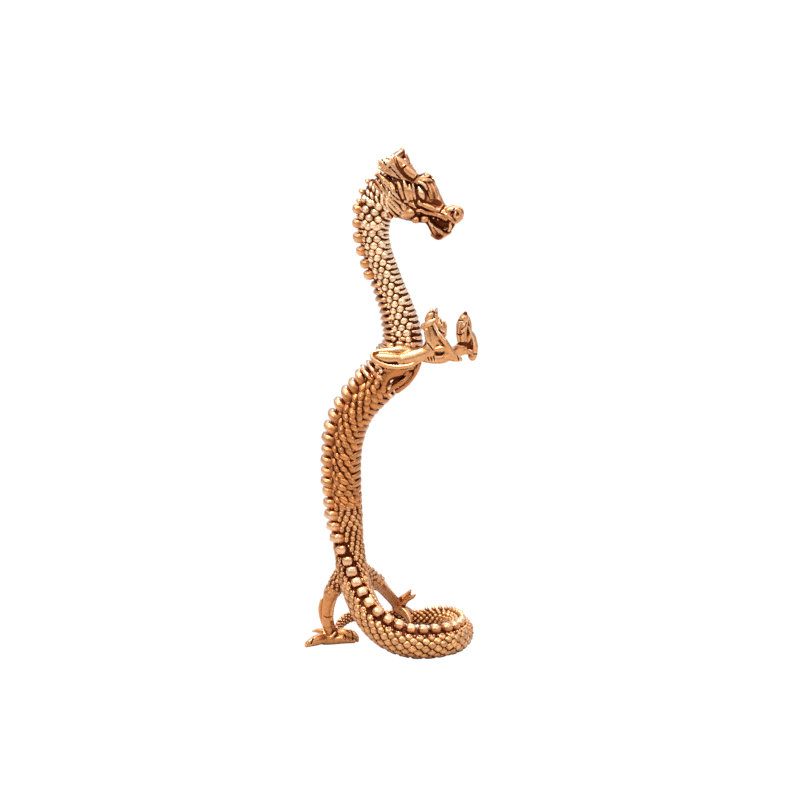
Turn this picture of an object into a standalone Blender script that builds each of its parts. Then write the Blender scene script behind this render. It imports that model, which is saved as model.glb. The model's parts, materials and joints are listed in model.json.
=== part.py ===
"""A cast copper-coloured dragon that rears up on its hind feet and the coil of its tail.

The figure is one casting. It looks along +X and stands on Z = 0, with the middle of its box over
the origin. Its pose is squared up on a grid, as a sculptor squares up a drawing: the figure is
GRID_SQUARES squares tall, and points of the pose are given in squares as (x, y, z). The claw it
reaches out on the -Y side and the leg under it are called near, and those on the +Y side far.
"""

import math

import bmesh
import bpy
from mathutils import Matrix, Vector

# Driving sizes, in metres.
HEIGHT = 0.155
SCALE_RELIEF = 0.00042
PLATE_RELIEF = 0.00040
SPIKE_HEIGHT = 0.0024

# The pose grid, and the point of it that comes over the origin.
GRID_SQUARES = 513.0
SQUARE = HEIGHT / GRID_SQUARES
GRID_MIDDLE = Vector((-0.65, 1.6, 0.0))

# The lattice of scales: squares between two rows, and corners round the girth.
ROW_PITCH = 6.7
GIRTH_CORNERS = 16
BELLY_CORNERS = 3
FULL_GIRTH_DEPTH = 14.0

# The head turns a little towards the figure's right, about an upright line through the nape.
HEAD_TURN = math.radians(20.0)
NAPE = (8.0, -18.0)

COPPER = (0.80, 0.43, 0.20)
COPPER_ROUGHNESS = 0.32

# The line of the body from the nape to the tip of the tail: x, y, z, half depth, half width.
BODY_LINE = (
    (1, -19, 473, 18.5, 15.5),
    (-8, -18, 468, 19.5, 15.5),
    (-14, -18, 458, 17.5, 15),
    (-17, -18, 444.5, 15, 13.5),
    (-17.5, -18, 430, 13.5, 13),
    (-15, -18, 413.5, 13, 13),
    (-9, -18, 395, 13, 13),
    (-2.5, -18, 376.5, 13, 13.5),
    (4, -18, 360, 13.5, 14.5),
    (10.5, -18, 339, 15, 15.5),
    (13, -18, 323.5, 16, 16.5),
    (12.5, -18, 308, 18, 17),
    (6.5, -18, 294.5, 19, 17.5),
    (-4, -18, 282, 19, 17.5),
    (-15, -18, 270, 18.5, 17.5),
    (-26, -18, 257.5, 17, 17),
    (-36, -18, 244, 16.5, 16.5),
    (-42.5, -18, 228.5, 16.5, 16),
    (-46, -18, 212, 16, 16),
    (-47.5, -18, 194, 15.5, 15.5),
    (-47.5, -18, 175.5, 15.5, 15),
    (-47, -18, 158, 15.5, 15),
    (-46, -18, 140.5, 15.5, 15),
    (-45, -18, 124, 15, 14.5),
    (-43.5, -18, 107, 14, 14.5),
    (-41.5, -19, 91, 13.5, 14.5),
    (-39, -23, 76, 13.5, 14.5),
    (-34, -30, 61, 14, 14.5),
    (-27, -40, 46.5, 15, 14.5),
    (-17, -49, 34, 15, 14.5),
    (-3, -56, 23.5, 15, 14.5),
    (14, -59, 16, 14.5, 15),
    (32, -57, 12.4, 14.5, 15),
    (49, -48, 11.7, 14, 14.5),
    (61.5, -32, 11, 13, 13.5),
    (67.5, -8, 10.8, 12.3, 12.5),
    (67.5, 20, 10.2, 11.3, 11.3),
    (61.5, 43, 9.4, 10.3, 10.3),
    (50, 58, 8.6, 9.5, 9.5),
    (34, 65.5, 7.9, 8.7, 8.7),
    (16, 67, 7.4, 7.8, 7.8),
    (-4, 65, 7.5, 6.6, 6.6),
    (-24, 60, 9.5, 5.6, 5.6),
    (-41, 51, 11.5, 4.8, 4.8),
    (-51, 37, 9, 4, 4),
    (-56, 20, 5, 2.8, 2.8),
    (-58, 9, 3.2, 1.4, 1.4),
)

# Which way the ridge of the back faces, by place along BODY_LINE, and how much of the full spike
# height its spikes and the crest between them have: point number, x, y, z, spike, crest.
RIDGE = (
    (0, -0.75, 0, 1, 0.3, 0.1),
    (3, -1, 0, 0.1, 1.15, 0.3),
    (6, -1, 0, 0, 1.05, 0.5),
    (9, -1, 0, 0, 0.8, 0.6),
    (12, -1, 0, 0, 0.75, 0.6),
    (15, -1, 0, 0, 1.1, 0.7),
    (20, -1, 0, 0, 1.2, 0.8),
    (21, -0.97, -0.2, 0, 1.1, 0.7),
    (22, -0.87, -0.5, 0, 0.9, 0.5),
    (23, -0.8, -0.6, 0, 0.8, 0.4),
    (24, -0.5, -0.87, 0, 0.6, 0.2),
    (25, -0.16, -0.98, 0, 0.6, 0.2),
    (26, 0, -0.95, 0.2, 0.6, 0.2),
    (27, 0.1, -0.9, 0.4, 0.6, 0.2),
    (28, 0.2, -0.75, 0.6, 0.6, 0.2),
    (29, 0.25, -0.6, 0.75, 0.65, 0.2),
    (30, 0.15, -0.35, 0.93, 0.65, 0.2),
    (32, 0, -0.2, 1, 0.65, 0.25),
    (35, 0.2, 0, 1, 0.6, 0.2),
    (39, 0, 0.2, 1, 0.6, 0.2),
    (46, 0, 0.1, 1, 0.2, 0),
)

# Limbs as curves: x, y, z, radius.
NEAR_FORELEG = (
    (-18, -27, 268, 8.5),
    (-9, -34, 278.5, 10),
    (2, -37.5, 290.5, 9.5),
    (12, -39, 300, 8.5),
    (24, -39.5, 306, 8.5),
    (38, -38, 309, 8.5),
    (45, -37, 316, 8),
)
FAR_FORELEG = (
    (-12, -9, 268, 9),
    (-4, -1, 278, 10),
    (6, 3, 287.5, 9),
    (18, 5, 293.5, 7.5),
    (38, 5, 298, 6.5),
    (60, 4, 300.5, 5.5),
    (72, 3, 303, 7),
)
NEAR_HIND_LEG = (
    (-42.5, -18, 90, 10),
    (-47.5, -16, 79, 10.5),
    (-55, -13, 65, 9.3),
    (-63, -10, 50, 7.8),
    (-66, -7.5, 34, 7.3),
    (-64.5, -6, 20, 6.8),
    (-61, -5, 7, 6.5),
)
FAR_HIND_LEG = (
    (-38, -16, 88, 10),
    (-31.5, -8, 77.5, 10),
    (-23, 4, 68.5, 9.3),
    (-15, 17, 58, 7.6),
    (-7, 32, 44, 6),
    (1.5, 46, 30, 5.6),
    (7, 54, 20, 6.5),
)

# Fingers, toes and their claws, each a curve of its own.
NEAR_FINGERS = (
    ((44, -37, 316, 8.5), (37, -40, 329, 7.5), (35, -42, 343, 5.5), (39.5, -42, 356, 1.8)),
    ((45, -36, 317, 8), (44, -37, 333, 6), (42.5, -38, 347, 4.5), (44.5, -38, 358.5, 1.6)),
    ((46, -34, 316, 7.5), (49.5, -33, 328, 5.5), (50, -32, 337, 4.4), (53.5, -32, 346, 1.6)),
    ((41, -37, 309.5, 8), (52, -37, 306.5, 6.5), (61, -37, 303.5, 4.4), (68.5, -37, 302, 1.8)),
)
FAR_FINGERS = (
    ((70.5, 2, 304, 6), (70.5, -1, 318, 6.5), (69.5, -2, 331, 6.2), (73, -2, 343, 2)),
    ((72, 5, 304, 5.5), (74, 7, 318, 5), (75.5, 8, 329, 4.4), (77, 8, 338, 1.8)),
    ((72, 3, 306, 5), (78.5, 3, 313, 4.8), (82.5, 3, 304, 4), (79.5, 3, 293.5, 2.8)),
)
NEAR_TOES = (
    ((-61, -5, 6, 7), (-72, -13, 5, 6), (-80, -19, 3.6, 4.8), (-86, -24, 2.2, 2)),
    ((-62, -6.5, 5.5, 6.7), (-63, -16, 4.6, 5.5), (-65, -23, 3, 3.8), (-68, -28, 2, 1.8)),
    ((-59, -4, 6.5, 6.8), (-48, -4, 8.5, 6), (-39, -5, 7.5, 5.4), (-35, -6, 2.4, 2.4)),
    ((-61.5, -3, 7, 6), (-71, 3, 6.5, 4), (-80, 6, 7, 1.8)),
)
FAR_TOES = (
    ((6, 52, 22, 7), (12, 50, 30, 6), (18.5, 48, 39, 1.8)),
    ((7.5, 55, 18.5, 6.4), (15, 61, 17, 4.8), (22, 68, 16.5, 3.6), (27, 72, 14, 1.8)),
    ((6.5, 54.5, 19.5, 6.2), (4, 64, 16.5, 5), (2, 72, 13, 3.6), (1, 77, 8, 1.8)),
    ((8, 53, 18, 6), (13, 46, 16, 4.8), (17, 40, 11, 3.6), (18, 36, 5, 1.8)),
)

# Flame-like tufts at the elbows, and the fold of skin under the near shoulder.
TUFTS = (
    ((14, -38, 300, 8), (2, -40, 297, 6.5), (-10, -40, 301, 4), (-20, -39, 308, 1.4)),
    ((14, -37, 302, 7), (8, -38, 312, 4.8), (3, -37, 325, 1.4)),
    ((18, 5, 293, 6.5), (4, 6, 292, 5.5), (-8, 6, 297, 3.5), (-16, 5, 304, 1.4)),
    ((-7, -29, 263, 4.5), (5, -30, 274, 6.5), (16, -29.5, 287, 6), (25, -31, 300, 5)),
)

# The head in its own frame: squares forward of the nape, and heights above the ground.
# Skull and upper jaw: forward, top, bottom, half width.
SKULL = (
    (-13, 481, 451, 13.5),
    (-4.5, 485.5, 448, 16),
    (6.5, 486, 446, 17),
    (17, 484.5, 446, 17),
    (25.5, 485, 447, 16),
    (34, 480.5, 447, 13.5),
    (40.5, 471, 446, 11),
    (45.5, 463.5, 444, 9),
    (52, 460.5, 442, 8.8),
    (58.5, 460, 442, 9.8),
    (63, 457.5, 444, 8),
    (65.5, 453, 447.5, 4),
)
# Lower jaw: forward, top, bottom, half width.
JAW = (
    (18, 452, 444, 11),
    (24, 451.5, 443.5, 10.5),
    (30, 446.5, 438.5, 9),
    (36.5, 438.5, 429, 7.5),
    (43, 434.5, 425.5, 6.8),
    (49, 436.5, 429.5, 5.6),
    (53, 440.5, 436, 3.5),
)
# The tongue, in the middle of the open mouth: forward, height, radius.
TONGUE = ((20, 447, 6), (32, 441.5, 5.5), (40, 438, 5), (48, 437.5, 2.5))

# Brows, nostrils, lips and mane of one side: forward, side, height, radius.
HEAD_LOCKS = (
    ((9, 11, 480, 5), (19, 12.5, 483.5, 5), (27, 10.5, 486, 4.6), (30, 8.5, 491.5, 1.6)),
    ((22, 13, 470, 5), (31, 13.5, 471, 5.2), (38, 9.5, 465, 3.6)),
    ((50, 5, 455, 3.6), (58, 6.5, 456.5, 4.8), (64, 5.5, 451.5, 3.2)),
    ((18, 14, 458, 4.5), (31, 12.5, 453.5, 4.2), (45, 8.8, 446, 3.6), (58, 8, 443.5, 3.2)),
    ((12, 15, 456, 5), (18, 15, 450, 5), (25, 12.5, 446.5, 3.6)),
    ((14, 14.5, 452, 5), (4, 18, 460, 4.6), (-9, 19, 472, 4.2), (-22, 17, 485, 1.6)),
    ((10, 15, 463, 4.6), (1, 18.5, 471, 4.2), (-10, 20, 481, 1.6)),
    ((18, 15, 466, 4), (12, 17.5, 474, 3.8), (5, 19, 484, 1.6)),
    ((9, 14, 449, 4), (-4, 16, 453, 3.8), (-15, 17, 462, 1.6)),
)
FANGS = (((49, 6.5, 446, 2.6), (49.5, 6, 439, 1.8), (48, 5, 433, 0.9)),)

# The prongs of the two horns, which fan out to the back: forward, side, height, radius.
NEAR_HORN = (
    ((15, -9, 479, 6.5), (4, -13, 491, 7), (-8, -17, 501, 5.4), (-16.5, -19.5, 507.5, 1.8)),
    ((15, -8, 481, 6), (7, -11, 495, 7), (-1.5, -14, 505, 4.8), (-7, -16, 510.5, 1.8)),
    ((15, -7, 482, 5), (10, -9, 496, 6), (1, -11.5, 510.8, 1.8)),
    ((8, -12, 481, 5), (-5, -17, 488, 5), (-17, -19.5, 499, 1.8)),
)
FAR_HORN = (
    ((13, 8, 482, 6), (6, 11, 494, 6.4), (0.5, 13.5, 505, 4), (-3, 15, 512.2, 1.8)),
    ((13, 9, 481, 6), (1, 14, 490, 6), (-10, 17, 499, 1.8)),
)

# Steps from one point of a curve to the next, and the roundness of its section.
LIMB_STEPS = 2
LIMB_ROUNDNESS = 2
FINGER_STEPS = 2
LOCK_STEPS = 1
FINGER_ROUNDNESS = 1
HEAD_SIDES = 12


def clear_scene():
    """Empties the file of what it opened with."""
    for found in list(bpy.data.objects):
        bpy.data.objects.remove(found, do_unlink=True)


def new_collection(name):
    """A collection linked to the scene."""
    made = bpy.data.collections.new(name)
    bpy.context.scene.collection.children.link(made)
    return made


def new_object(name, mesh, collection):
    """An object for a mesh, in a collection."""
    made = bpy.data.objects.new(name, mesh)
    collection.objects.link(made)
    return made


def copper():
    """The polished copper of the whole casting."""
    made = bpy.data.materials.new("polished_copper")
    made.use_nodes = True
    shader = made.node_tree.nodes["Principled BSDF"]
    shader.inputs["Base Color"].default_value = (*COPPER, 1.0)
    shader.inputs["Metallic"].default_value = 1.0
    shader.inputs["Roughness"].default_value = COPPER_ROUGHNESS
    return made


def from_grid(point):
    """A point of the pose grid, in metres."""
    return (Vector(point) - GRID_MIDDLE) * SQUARE


def smooth_line(points, place):
    """The value of a smooth curve through rows of numbers, at a place from 0 to the last row."""
    first = min(int(place), len(points) - 2)
    share = place - first
    rows = [points[min(max(first + step, 0), len(points) - 1)] for step in (-1, 0, 1, 2)]
    found = []
    for before, start, end, after in zip(*rows):
        found.append(
            start
            + 0.5 * share * (end - before)
            + share**2 * (before - 2.5 * start + 2.0 * end - 0.5 * after)
            + share**3 * 0.5 * (3.0 * (start - end) + after - before)
        )
    return found


def ridge_at(place):
    """Which way the ridge faces at a place along BODY_LINE, and its spike and crest shares."""
    for low, high in zip(RIDGE, RIDGE[1:]):
        if place <= high[0]:
            share = (place - low[0]) / (high[0] - low[0])
            facing = Vector(low[1:4]).normalized().lerp(Vector(high[1:4]).normalized(), share)
            spike, crest = (a + share * (b - a) for a, b in zip(low[4:], high[4:]))
            return facing, spike, crest
    return Vector(RIDGE[-1][1:4]), *RIDGE[-1][4:]


def rows_along(points, pitch):
    """Places along a line of points whose distance from one to the next is about the pitch."""
    steps_a_point = 24
    fine = [step / steps_a_point for step in range((len(points) - 1) * steps_a_point + 1)]
    spots = [Vector(smooth_line(points, place)[:3]) for place in fine]
    lengths = [0.0]
    for start, end in zip(spots, spots[1:]):
        lengths.append(lengths[-1] + (end - start).length)
    count = round(lengths[-1] / pitch)
    places = []
    step = 0
    for row in range(count + 1):
        wanted = lengths[-1] * row / count
        while step < len(fine) - 2 and lengths[step + 1] < wanted:
            step += 1
        share = (wanted - lengths[step]) / (lengths[step + 1] - lengths[step])
        places.append(fine[step] + share / steps_a_point)
    return places


def loft(name, rings, collection):
    """A closed skin over rings of points, with a fan of faces over each end ring.

    Each four-sided gap between two rings is cut along the line between its two lower corners,
    so that every raised corner, flagged 1, becomes the peak of a scale.
    """
    form = bmesh.new()
    corners = [[form.verts.new(point) for point, raised in ring] for ring in rings]
    count = len(corners[0])
    for row in range(len(rings) - 1):
        for corner in range(count):
            beside = (corner + 1) % count
            a, b = corners[row][corner], corners[row][beside]
            c, d = corners[row + 1][beside], corners[row + 1][corner]
            if rings[row][corner][1] > rings[row][beside][1]:
                form.faces.new((a, b, d))
                form.faces.new((b, c, d))
            else:
                form.faces.new((a, b, c))
                form.faces.new((a, c, d))
    for ring, turned in ((corners[0], True), (corners[-1], False)):
        middle = form.verts.new(sum((v.co for v in ring), Vector()) / count)
        for corner in range(count):
            pair = (ring[corner], ring[(corner + 1) % count])
            form.faces.new((*(reversed(pair) if turned else pair), middle))
    bmesh.ops.recalc_face_normals(form, faces=form.faces)
    mesh = bpy.data.meshes.new(name)
    form.to_mesh(mesh)
    form.free()
    return new_object(name, mesh, collection)


def body_lift(row, corner, size, spike, crest):
    """How far a corner of the body's skin stands out: a scale, a belly plate or the ridge."""
    from_ridge = min(corner, GIRTH_CORNERS - corner)
    from_belly = GIRTH_CORNERS // 2 - from_ridge
    raised = (row + corner) % 2 == 0
    if from_ridge == 0:
        return SPIKE_HEIGHT * (spike if raised else crest) * size
    if from_belly < BELLY_CORNERS:
        return PLATE_RELIEF * (1.0 if row % 2 == 0 else -1.0) * size
    return SCALE_RELIEF * (1.0 if raised else -0.5) * size


def scaly_body(collection):
    """The body from nape to tail tip, with its scales, belly plates and ridge of spikes."""
    places = rows_along(BODY_LINE, ROW_PITCH)
    spots = [Vector(smooth_line(BODY_LINE, place)[:3]) for place in places]
    rings = []
    for row, place in enumerate(places):
        depth, width = smooth_line(BODY_LINE, place)[3:]
        along = (spots[min(row + 1, len(spots) - 1)] - spots[max(row - 1, 0)]).normalized()
        facing, spike, crest = ridge_at(place)
        ridge = (facing - facing.dot(along) * along).normalized()
        side = along.cross(ridge)
        size = min(1.0, depth / FULL_GIRTH_DEPTH)
        ring = []
        for corner in range(GIRTH_CORNERS):
            angle = 2.0 * math.pi * corner / GIRTH_CORNERS
            out = ridge * (depth * math.cos(angle)) + side * (width * math.sin(angle))
            lift = body_lift(row, corner, size, spike, crest)
            point = from_grid(spots[row] + out) + out.normalized() * lift
            ring.append((point, (row + corner + 1) % 2))
        rings.append(ring)
    return loft("dragon", rings, collection)


def tube(name, points, steps, roundness, collection):
    """A limb, finger or lock: a smooth tube through points in squares, with a radius at each."""
    curve = bpy.data.curves.new(name, "CURVE")
    curve.dimensions = "3D"
    curve.bevel_depth = SQUARE
    curve.bevel_resolution = roundness
    curve.use_fill_caps = True
    curve.resolution_u = steps
    spline = curve.splines.new("BEZIER")
    spline.bezier_points.add(len(points) - 1)
    for knot, (x, y, z, radius) in zip(spline.bezier_points, points):
        knot.co = from_grid((x, y, z))
        knot.handle_left_type = "AUTO"
        knot.handle_right_type = "AUTO"
        knot.radius = radius
    drawn = new_object(name + "_curve", curve, collection)
    bpy.context.view_layer.update()
    shaped = drawn.evaluated_get(bpy.context.evaluated_depsgraph_get())
    mesh = bpy.data.meshes.new_from_object(shaped)
    form = bmesh.new()
    form.from_mesh(mesh)
    bmesh.ops.remove_doubles(form, verts=form.verts, dist=SQUARE * 0.01)
    bmesh.ops.recalc_face_normals(form, faces=form.faces)
    form.to_mesh(mesh)
    form.free()
    bpy.data.objects.remove(drawn)
    return new_object(name, mesh, collection)


def head_place(forward, side, height):
    """A point of the grid, from one given forward of the nape, to its left side, and up."""
    turned = Matrix.Rotation(-HEAD_TURN, 3, "Z") @ Vector((forward, side, 0.0))
    return Vector((NAPE[0] + turned.x, NAPE[1] + turned.y, height))


def head_loft(name, sections, collection):
    """A part of the head over upright oval sections: forward, top, bottom, half width."""
    rings = []
    for forward, top, bottom, half_width in sections:
        ring = []
        for corner in range(HEAD_SIDES):
            angle = 2.0 * math.pi * (corner + 0.5) / HEAD_SIDES
            side = half_width * math.sin(angle)
            height = 0.5 * (top + bottom) + 0.5 * (top - bottom) * math.cos(angle)
            ring.append((from_grid(head_place(forward, side, height)), corner % 2))
        rings.append(ring)
    return loft(name, rings, collection)


def head_tube(name, lock, sign, collection):
    """A lock, prong, brow or fang of the head, on its own side or, with sign -1, the other."""
    points = []
    for forward, side, height, radius in lock:
        points.append((*head_place(forward, sign * side, height), radius))
    tube(name, points, LOCK_STEPS, FINGER_ROUNDNESS, collection)


def head(collection):
    """The skull, jaws, tongue, locks and horns."""
    head_loft("skull", SKULL, collection)
    head_loft("jaw", JAW, collection)
    head_tube("tongue", [(forward, 0.0, *rest) for forward, *rest in TONGUE], 1.0, collection)
    for number, lock in enumerate(HEAD_LOCKS + FANGS):
        head_tube(f"left_lock_{number}", lock, 1.0, collection)
        head_tube(f"right_lock_{number}", lock, -1.0, collection)
    for number, prong in enumerate(NEAR_HORN + FAR_HORN):
        head_tube(f"prong_{number}", prong, 1.0, collection)


def limbs(collection):
    """The four legs with their fingers, toes and tufts."""
    for number, limb in enumerate((NEAR_FORELEG, FAR_FORELEG, NEAR_HIND_LEG, FAR_HIND_LEG)):
        tube(f"limb_{number}", limb, LIMB_STEPS, LIMB_ROUNDNESS, collection)
    for number, finger in enumerate(NEAR_FINGERS + FAR_FINGERS + NEAR_TOES + FAR_TOES + TUFTS):
        tube(f"finger_{number}", finger, FINGER_STEPS, FINGER_ROUNDNESS, collection)


def floor_block(collection):
    """The block that trims the underside flat, so that the casting stands without rocking."""
    form = bmesh.new()
    bmesh.ops.create_cube(form, size=HEIGHT)
    bmesh.ops.translate(form, verts=form.verts, vec=(0.0, 0.0, -0.5 * HEIGHT))
    mesh = bpy.data.meshes.new("floor_block")
    form.to_mesh(mesh)
    form.free()
    return new_object("floor_block", mesh, collection)


def keep_outer_shell(dragon):
    """Applies the joins and fills with metal the pinholes that they close off inside.

    The outer shell is the one with the most corners, and any other is the wall of a pinhole.
    """
    joined = dragon.evaluated_get(bpy.context.evaluated_depsgraph_get())
    form = bmesh.new()
    form.from_mesh(joined.to_mesh())
    joined.to_mesh_clear()
    shells = []
    waiting = set(form.verts)
    while waiting:
        shell = set()
        edge = {waiting.pop()}
        while edge:
            shell |= edge
            edge = {line.other_vert(corner) for corner in edge for line in corner.link_edges} - shell
        waiting -= shell
        shells.append(shell)
    outer = max(shells, key=len)
    bmesh.ops.delete(form, geom=[corner for corner in form.verts if corner not in outer], context="VERTS")
    dragon.modifiers.clear()
    form.to_mesh(dragon.data)
    form.free()


def main():
    """Builds the dragon: one body, with the head and limbs joined on, trimmed flat below."""
    clear_scene()
    figure = new_collection("dragon_figure")
    joined = new_collection("joined_forms")
    cutters = new_collection("cutters")
    dragon = scaly_body(figure)
    head(joined)
    limbs(joined)
    block = floor_block(cutters)
    for hidden in (*joined.objects, *cutters.objects):
        hidden.hide_render = True
        hidden.display_type = "WIRE"
    union = dragon.modifiers.new("one_casting", "BOOLEAN")
    union.operation = "UNION"
    union.operand_type = "COLLECTION"
    union.collection = joined
    union.solver = "EXACT"
    trim = dragon.modifiers.new("flat_underside", "BOOLEAN")
    trim.operation = "DIFFERENCE"
    trim.object = block
    trim.solver = "EXACT"
    bpy.context.view_layer.update()
    keep_outer_shell(dragon)
    dragon.data.materials.append(copper())


main()
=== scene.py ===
"""A cast copper dragon that rears up on its hind feet and the coil of its tail, in a plain studio.

The casting is dressed in three ways. The long body is a dark ground skin under coats of carved
scales, belly plates and back plates, each set out by a Geometry Nodes tree. The head, the claws
and the legs are pressed and carved in modelling clay, a block of cells that is then cast as a
mesh. One shader group, the antique copper, gives every piece its dark recesses, patina with some
painted shade, and its bright crowns, part worn metal and part painted highlight.
Points and lengths of the figure are in squares of the pose grid: it is 513 squares tall, it looks
along +X, and the claw that it reaches out on the -Y side and the leg under it are called near.
"""

from __future__ import annotations

import json
import logging
import math
from dataclasses import dataclass, field
from enum import Enum

import bpy
import numpy as np
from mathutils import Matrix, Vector

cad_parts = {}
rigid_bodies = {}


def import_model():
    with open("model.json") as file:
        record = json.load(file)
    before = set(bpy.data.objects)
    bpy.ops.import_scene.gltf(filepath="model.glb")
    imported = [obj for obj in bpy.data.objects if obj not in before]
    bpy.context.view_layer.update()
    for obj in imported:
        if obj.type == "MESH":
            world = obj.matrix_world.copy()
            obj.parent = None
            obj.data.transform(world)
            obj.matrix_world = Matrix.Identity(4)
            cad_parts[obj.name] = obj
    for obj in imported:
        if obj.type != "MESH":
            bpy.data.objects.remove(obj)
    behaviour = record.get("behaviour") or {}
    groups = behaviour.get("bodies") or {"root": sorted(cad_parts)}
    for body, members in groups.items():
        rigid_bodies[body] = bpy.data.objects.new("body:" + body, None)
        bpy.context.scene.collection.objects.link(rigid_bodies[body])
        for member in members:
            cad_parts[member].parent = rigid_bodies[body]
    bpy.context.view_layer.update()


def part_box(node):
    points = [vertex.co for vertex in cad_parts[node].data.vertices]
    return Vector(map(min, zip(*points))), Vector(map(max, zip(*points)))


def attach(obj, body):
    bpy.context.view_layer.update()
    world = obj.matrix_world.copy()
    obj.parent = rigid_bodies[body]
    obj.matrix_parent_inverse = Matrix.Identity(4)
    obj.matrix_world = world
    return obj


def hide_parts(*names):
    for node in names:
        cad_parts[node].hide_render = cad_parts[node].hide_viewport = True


LOG = logging.getLogger("dragon")

CASTING = "dragon"
BODY = "root"
# In squares: the figure's height, what an empty cell of clay holds, the half depth of a full body,
# the least radius of a rod, and how far a groove's line looks for the clay.
GRID_SQUARES = 513.0
FAR_OFF = 30.0
FULL_DEPTH = 13.0
THINNEST_ROD = 0.3
SCORE_REACH = 40.0
WHOLE_TURN = 2.0 * math.pi

Point = tuple[float, ...]
Colour = tuple[float, float, float]
Rows = np.ndarray
Socket = bpy.types.NodeSocket
Mesh = bpy.types.Mesh
Material = bpy.types.Material

# The line of the body from the nape to the tip of the tail: x, y, z, half depth, half width.
BODY_LINE = (
    (1, -19, 473, 18.5, 15.5), (-8, -18, 468, 19.5, 15.5), (-14, -18, 458, 17.5, 15),
    (-17, -18, 444.5, 15, 13.5), (-17.5, -18, 430, 13.5, 13), (-15, -18, 413.5, 13, 13),
    (-9, -18, 395, 13, 13), (-2.5, -18, 376.5, 13, 13.5), (4, -18, 360, 13.5, 14.5),
    (10.5, -18, 339, 15, 15.5), (13, -18, 323.5, 16, 16.5), (12.5, -18, 308, 17.7, 17),
    (6.3, -18, 294.7, 18.4, 17.5), (-4.2, -18, 282.2, 18.3, 17.5), (-15.2, -18, 270.2, 17.9, 17.5),
    (-26, -18, 257.5, 16.6, 17), (-36, -18, 244, 16.5, 16.5), (-42.5, -18, 228.5, 16.5, 16),
    (-46, -18, 212, 16, 16), (-47.5, -18, 194, 15.5, 15.5), (-47.5, -18, 175.5, 15.5, 15),
    (-47, -18, 158, 15.5, 15), (-46, -18, 140.5, 15.5, 15), (-45, -18, 124, 15, 14.5),
    (-43.5, -18, 107, 14, 14.5), (-41.5, -19, 91, 13.5, 14.5), (-39, -23, 76, 13.5, 14.5),
    (-34, -30, 61, 14, 14.5), (-27, -40, 46.5, 15, 14.5), (-17, -49, 34, 15, 14.5),
    (-3, -56, 23.5, 15, 14.5), (14, -59, 16.8, 14.5, 15), (32, -57, 13.6, 14.5, 15),
    (49, -48, 12.4, 14, 14.5), (61.5, -32, 11, 13, 13.5), (67.5, -8, 10.8, 12.3, 12.5),
    (67.5, 20, 9.8, 10.7, 10.9), (61.5, 42, 9, 9.6, 9.8), (50, 56, 8.4, 8.8, 9),
    (34, 62.5, 7, 7.4, 7.8), (16, 63.5, 6.4, 6.5, 7), (-4, 62, 7, 6.2, 6.4),
    (-24, 60, 9.5, 5.6, 5.6), (-41, 51, 11.5, 5, 5), (-51, 37, 9, 4.2, 4.2), (-56, 20, 5, 2.8, 2.8),
    (-58, 9, 3.2, 1.4, 1.4),
)

# Which way the ridge of the back faces, by place along BODY_LINE: point number, x, y, z.
RIDGE_FACING = (
    (0, -0.75, 0, 1), (3, -1, 0, 0.1), (20, -1, 0, 0), (21, -0.97, -0.2, 0), (22, -0.87, -0.5, 0),
    (23, -0.8, -0.6, 0), (24, -0.5, -0.87, 0), (25, -0.16, -0.98, 0), (26, 0, -0.95, 0.2),
    (27, 0.1, -0.9, 0.4), (28, 0.2, -0.75, 0.6), (29, 0.25, -0.6, 0.75), (30, 0.15, -0.35, 0.93),
    (32, 0, -0.2, 1), (35, 0.2, 0, 1), (39, 0, 0.2, 1), (46, 0, 0.1, 1),
)

# Where the back plates end and the belly plates start, by place: degrees from the ridge line
# and degrees from the belly line.
BAND_EDGES = (
    (0, 24, 56), (4, 30, 60), (7, 38, 64), (12, 38, 64), (14, 28, 60), (20, 27, 60), (21.5, 28, 40),
    (24, 36, 36), (27, 36, 44), (33, 36, 44), (36, 24, 44), (46, 24, 40),
)


def smooth_rows(rows: Rows, places: Rows) -> Rows:
    """Reads a smooth curve through rows of numbers.

    Args:
        rows: One row for each point that the curve passes through.
        places: Where to read it, from 0 at the first row to the last row's number.

    Returns:
        One row of values for each place.
    """
    first = np.clip(places.astype(int), 0, len(rows) - 2)
    share = (places - first)[:, None]
    near = [rows[np.clip(first + step, 0, len(rows) - 1)] for step in (-1, 0, 1, 2)]
    before, start, end, after = near
    straight = start + 0.5 * share * (end - before)
    bend = share**2 * (before - 2.5 * start + 2.0 * end - 0.5 * after)
    twist = share**3 * 0.5 * (3.0 * (start - end) + after - before)
    return straight + bend + twist


def fine_rows(points: tuple[Point, ...], steps: int) -> Rows:
    """Rows of numbers with smooth steps put in, so many from each to the next."""
    rows = np.array(points, float)
    return smooth_rows(rows, np.linspace(0, len(rows) - 1, (len(rows) - 1) * steps + 1))


def rows_at(lengths: Rows, rows: Rows, spot: float | Rows) -> Rows:
    """Each column of some rows, read at one length or more."""
    return np.array([np.interp(spot, lengths, column) for column in rows.T])


def unit(rows: Rows) -> Rows:
    """Rows of vectors, each scaled to length one."""
    return rows / np.maximum(np.linalg.norm(rows, axis=-1, keepdims=True), 1e-9)


@dataclass(frozen=True)
class PoseGrid:
    """The grid of squares on which the pose is drawn, laid over the casting.

    Attributes:
        square: The side of one square, in metres.
        middle: The point of the grid that stands over the origin.
    """

    square: float
    middle: Point = (-0.65, 1.6, 0.0)

    @classmethod
    def over(cls, node: str) -> PoseGrid:
        """Fits the grid to the height of a solid of the casting.

        Args:
            node: The solid's name.

        Returns:
            The grid.
        """
        low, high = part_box(node)
        return cls(square=(high.z - low.z) / GRID_SQUARES)

    def place(self, points: Rows) -> Rows:
        """Points of the grid, in metres."""
        return (np.asarray(points, float) - np.asarray(self.middle)) * self.square


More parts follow.
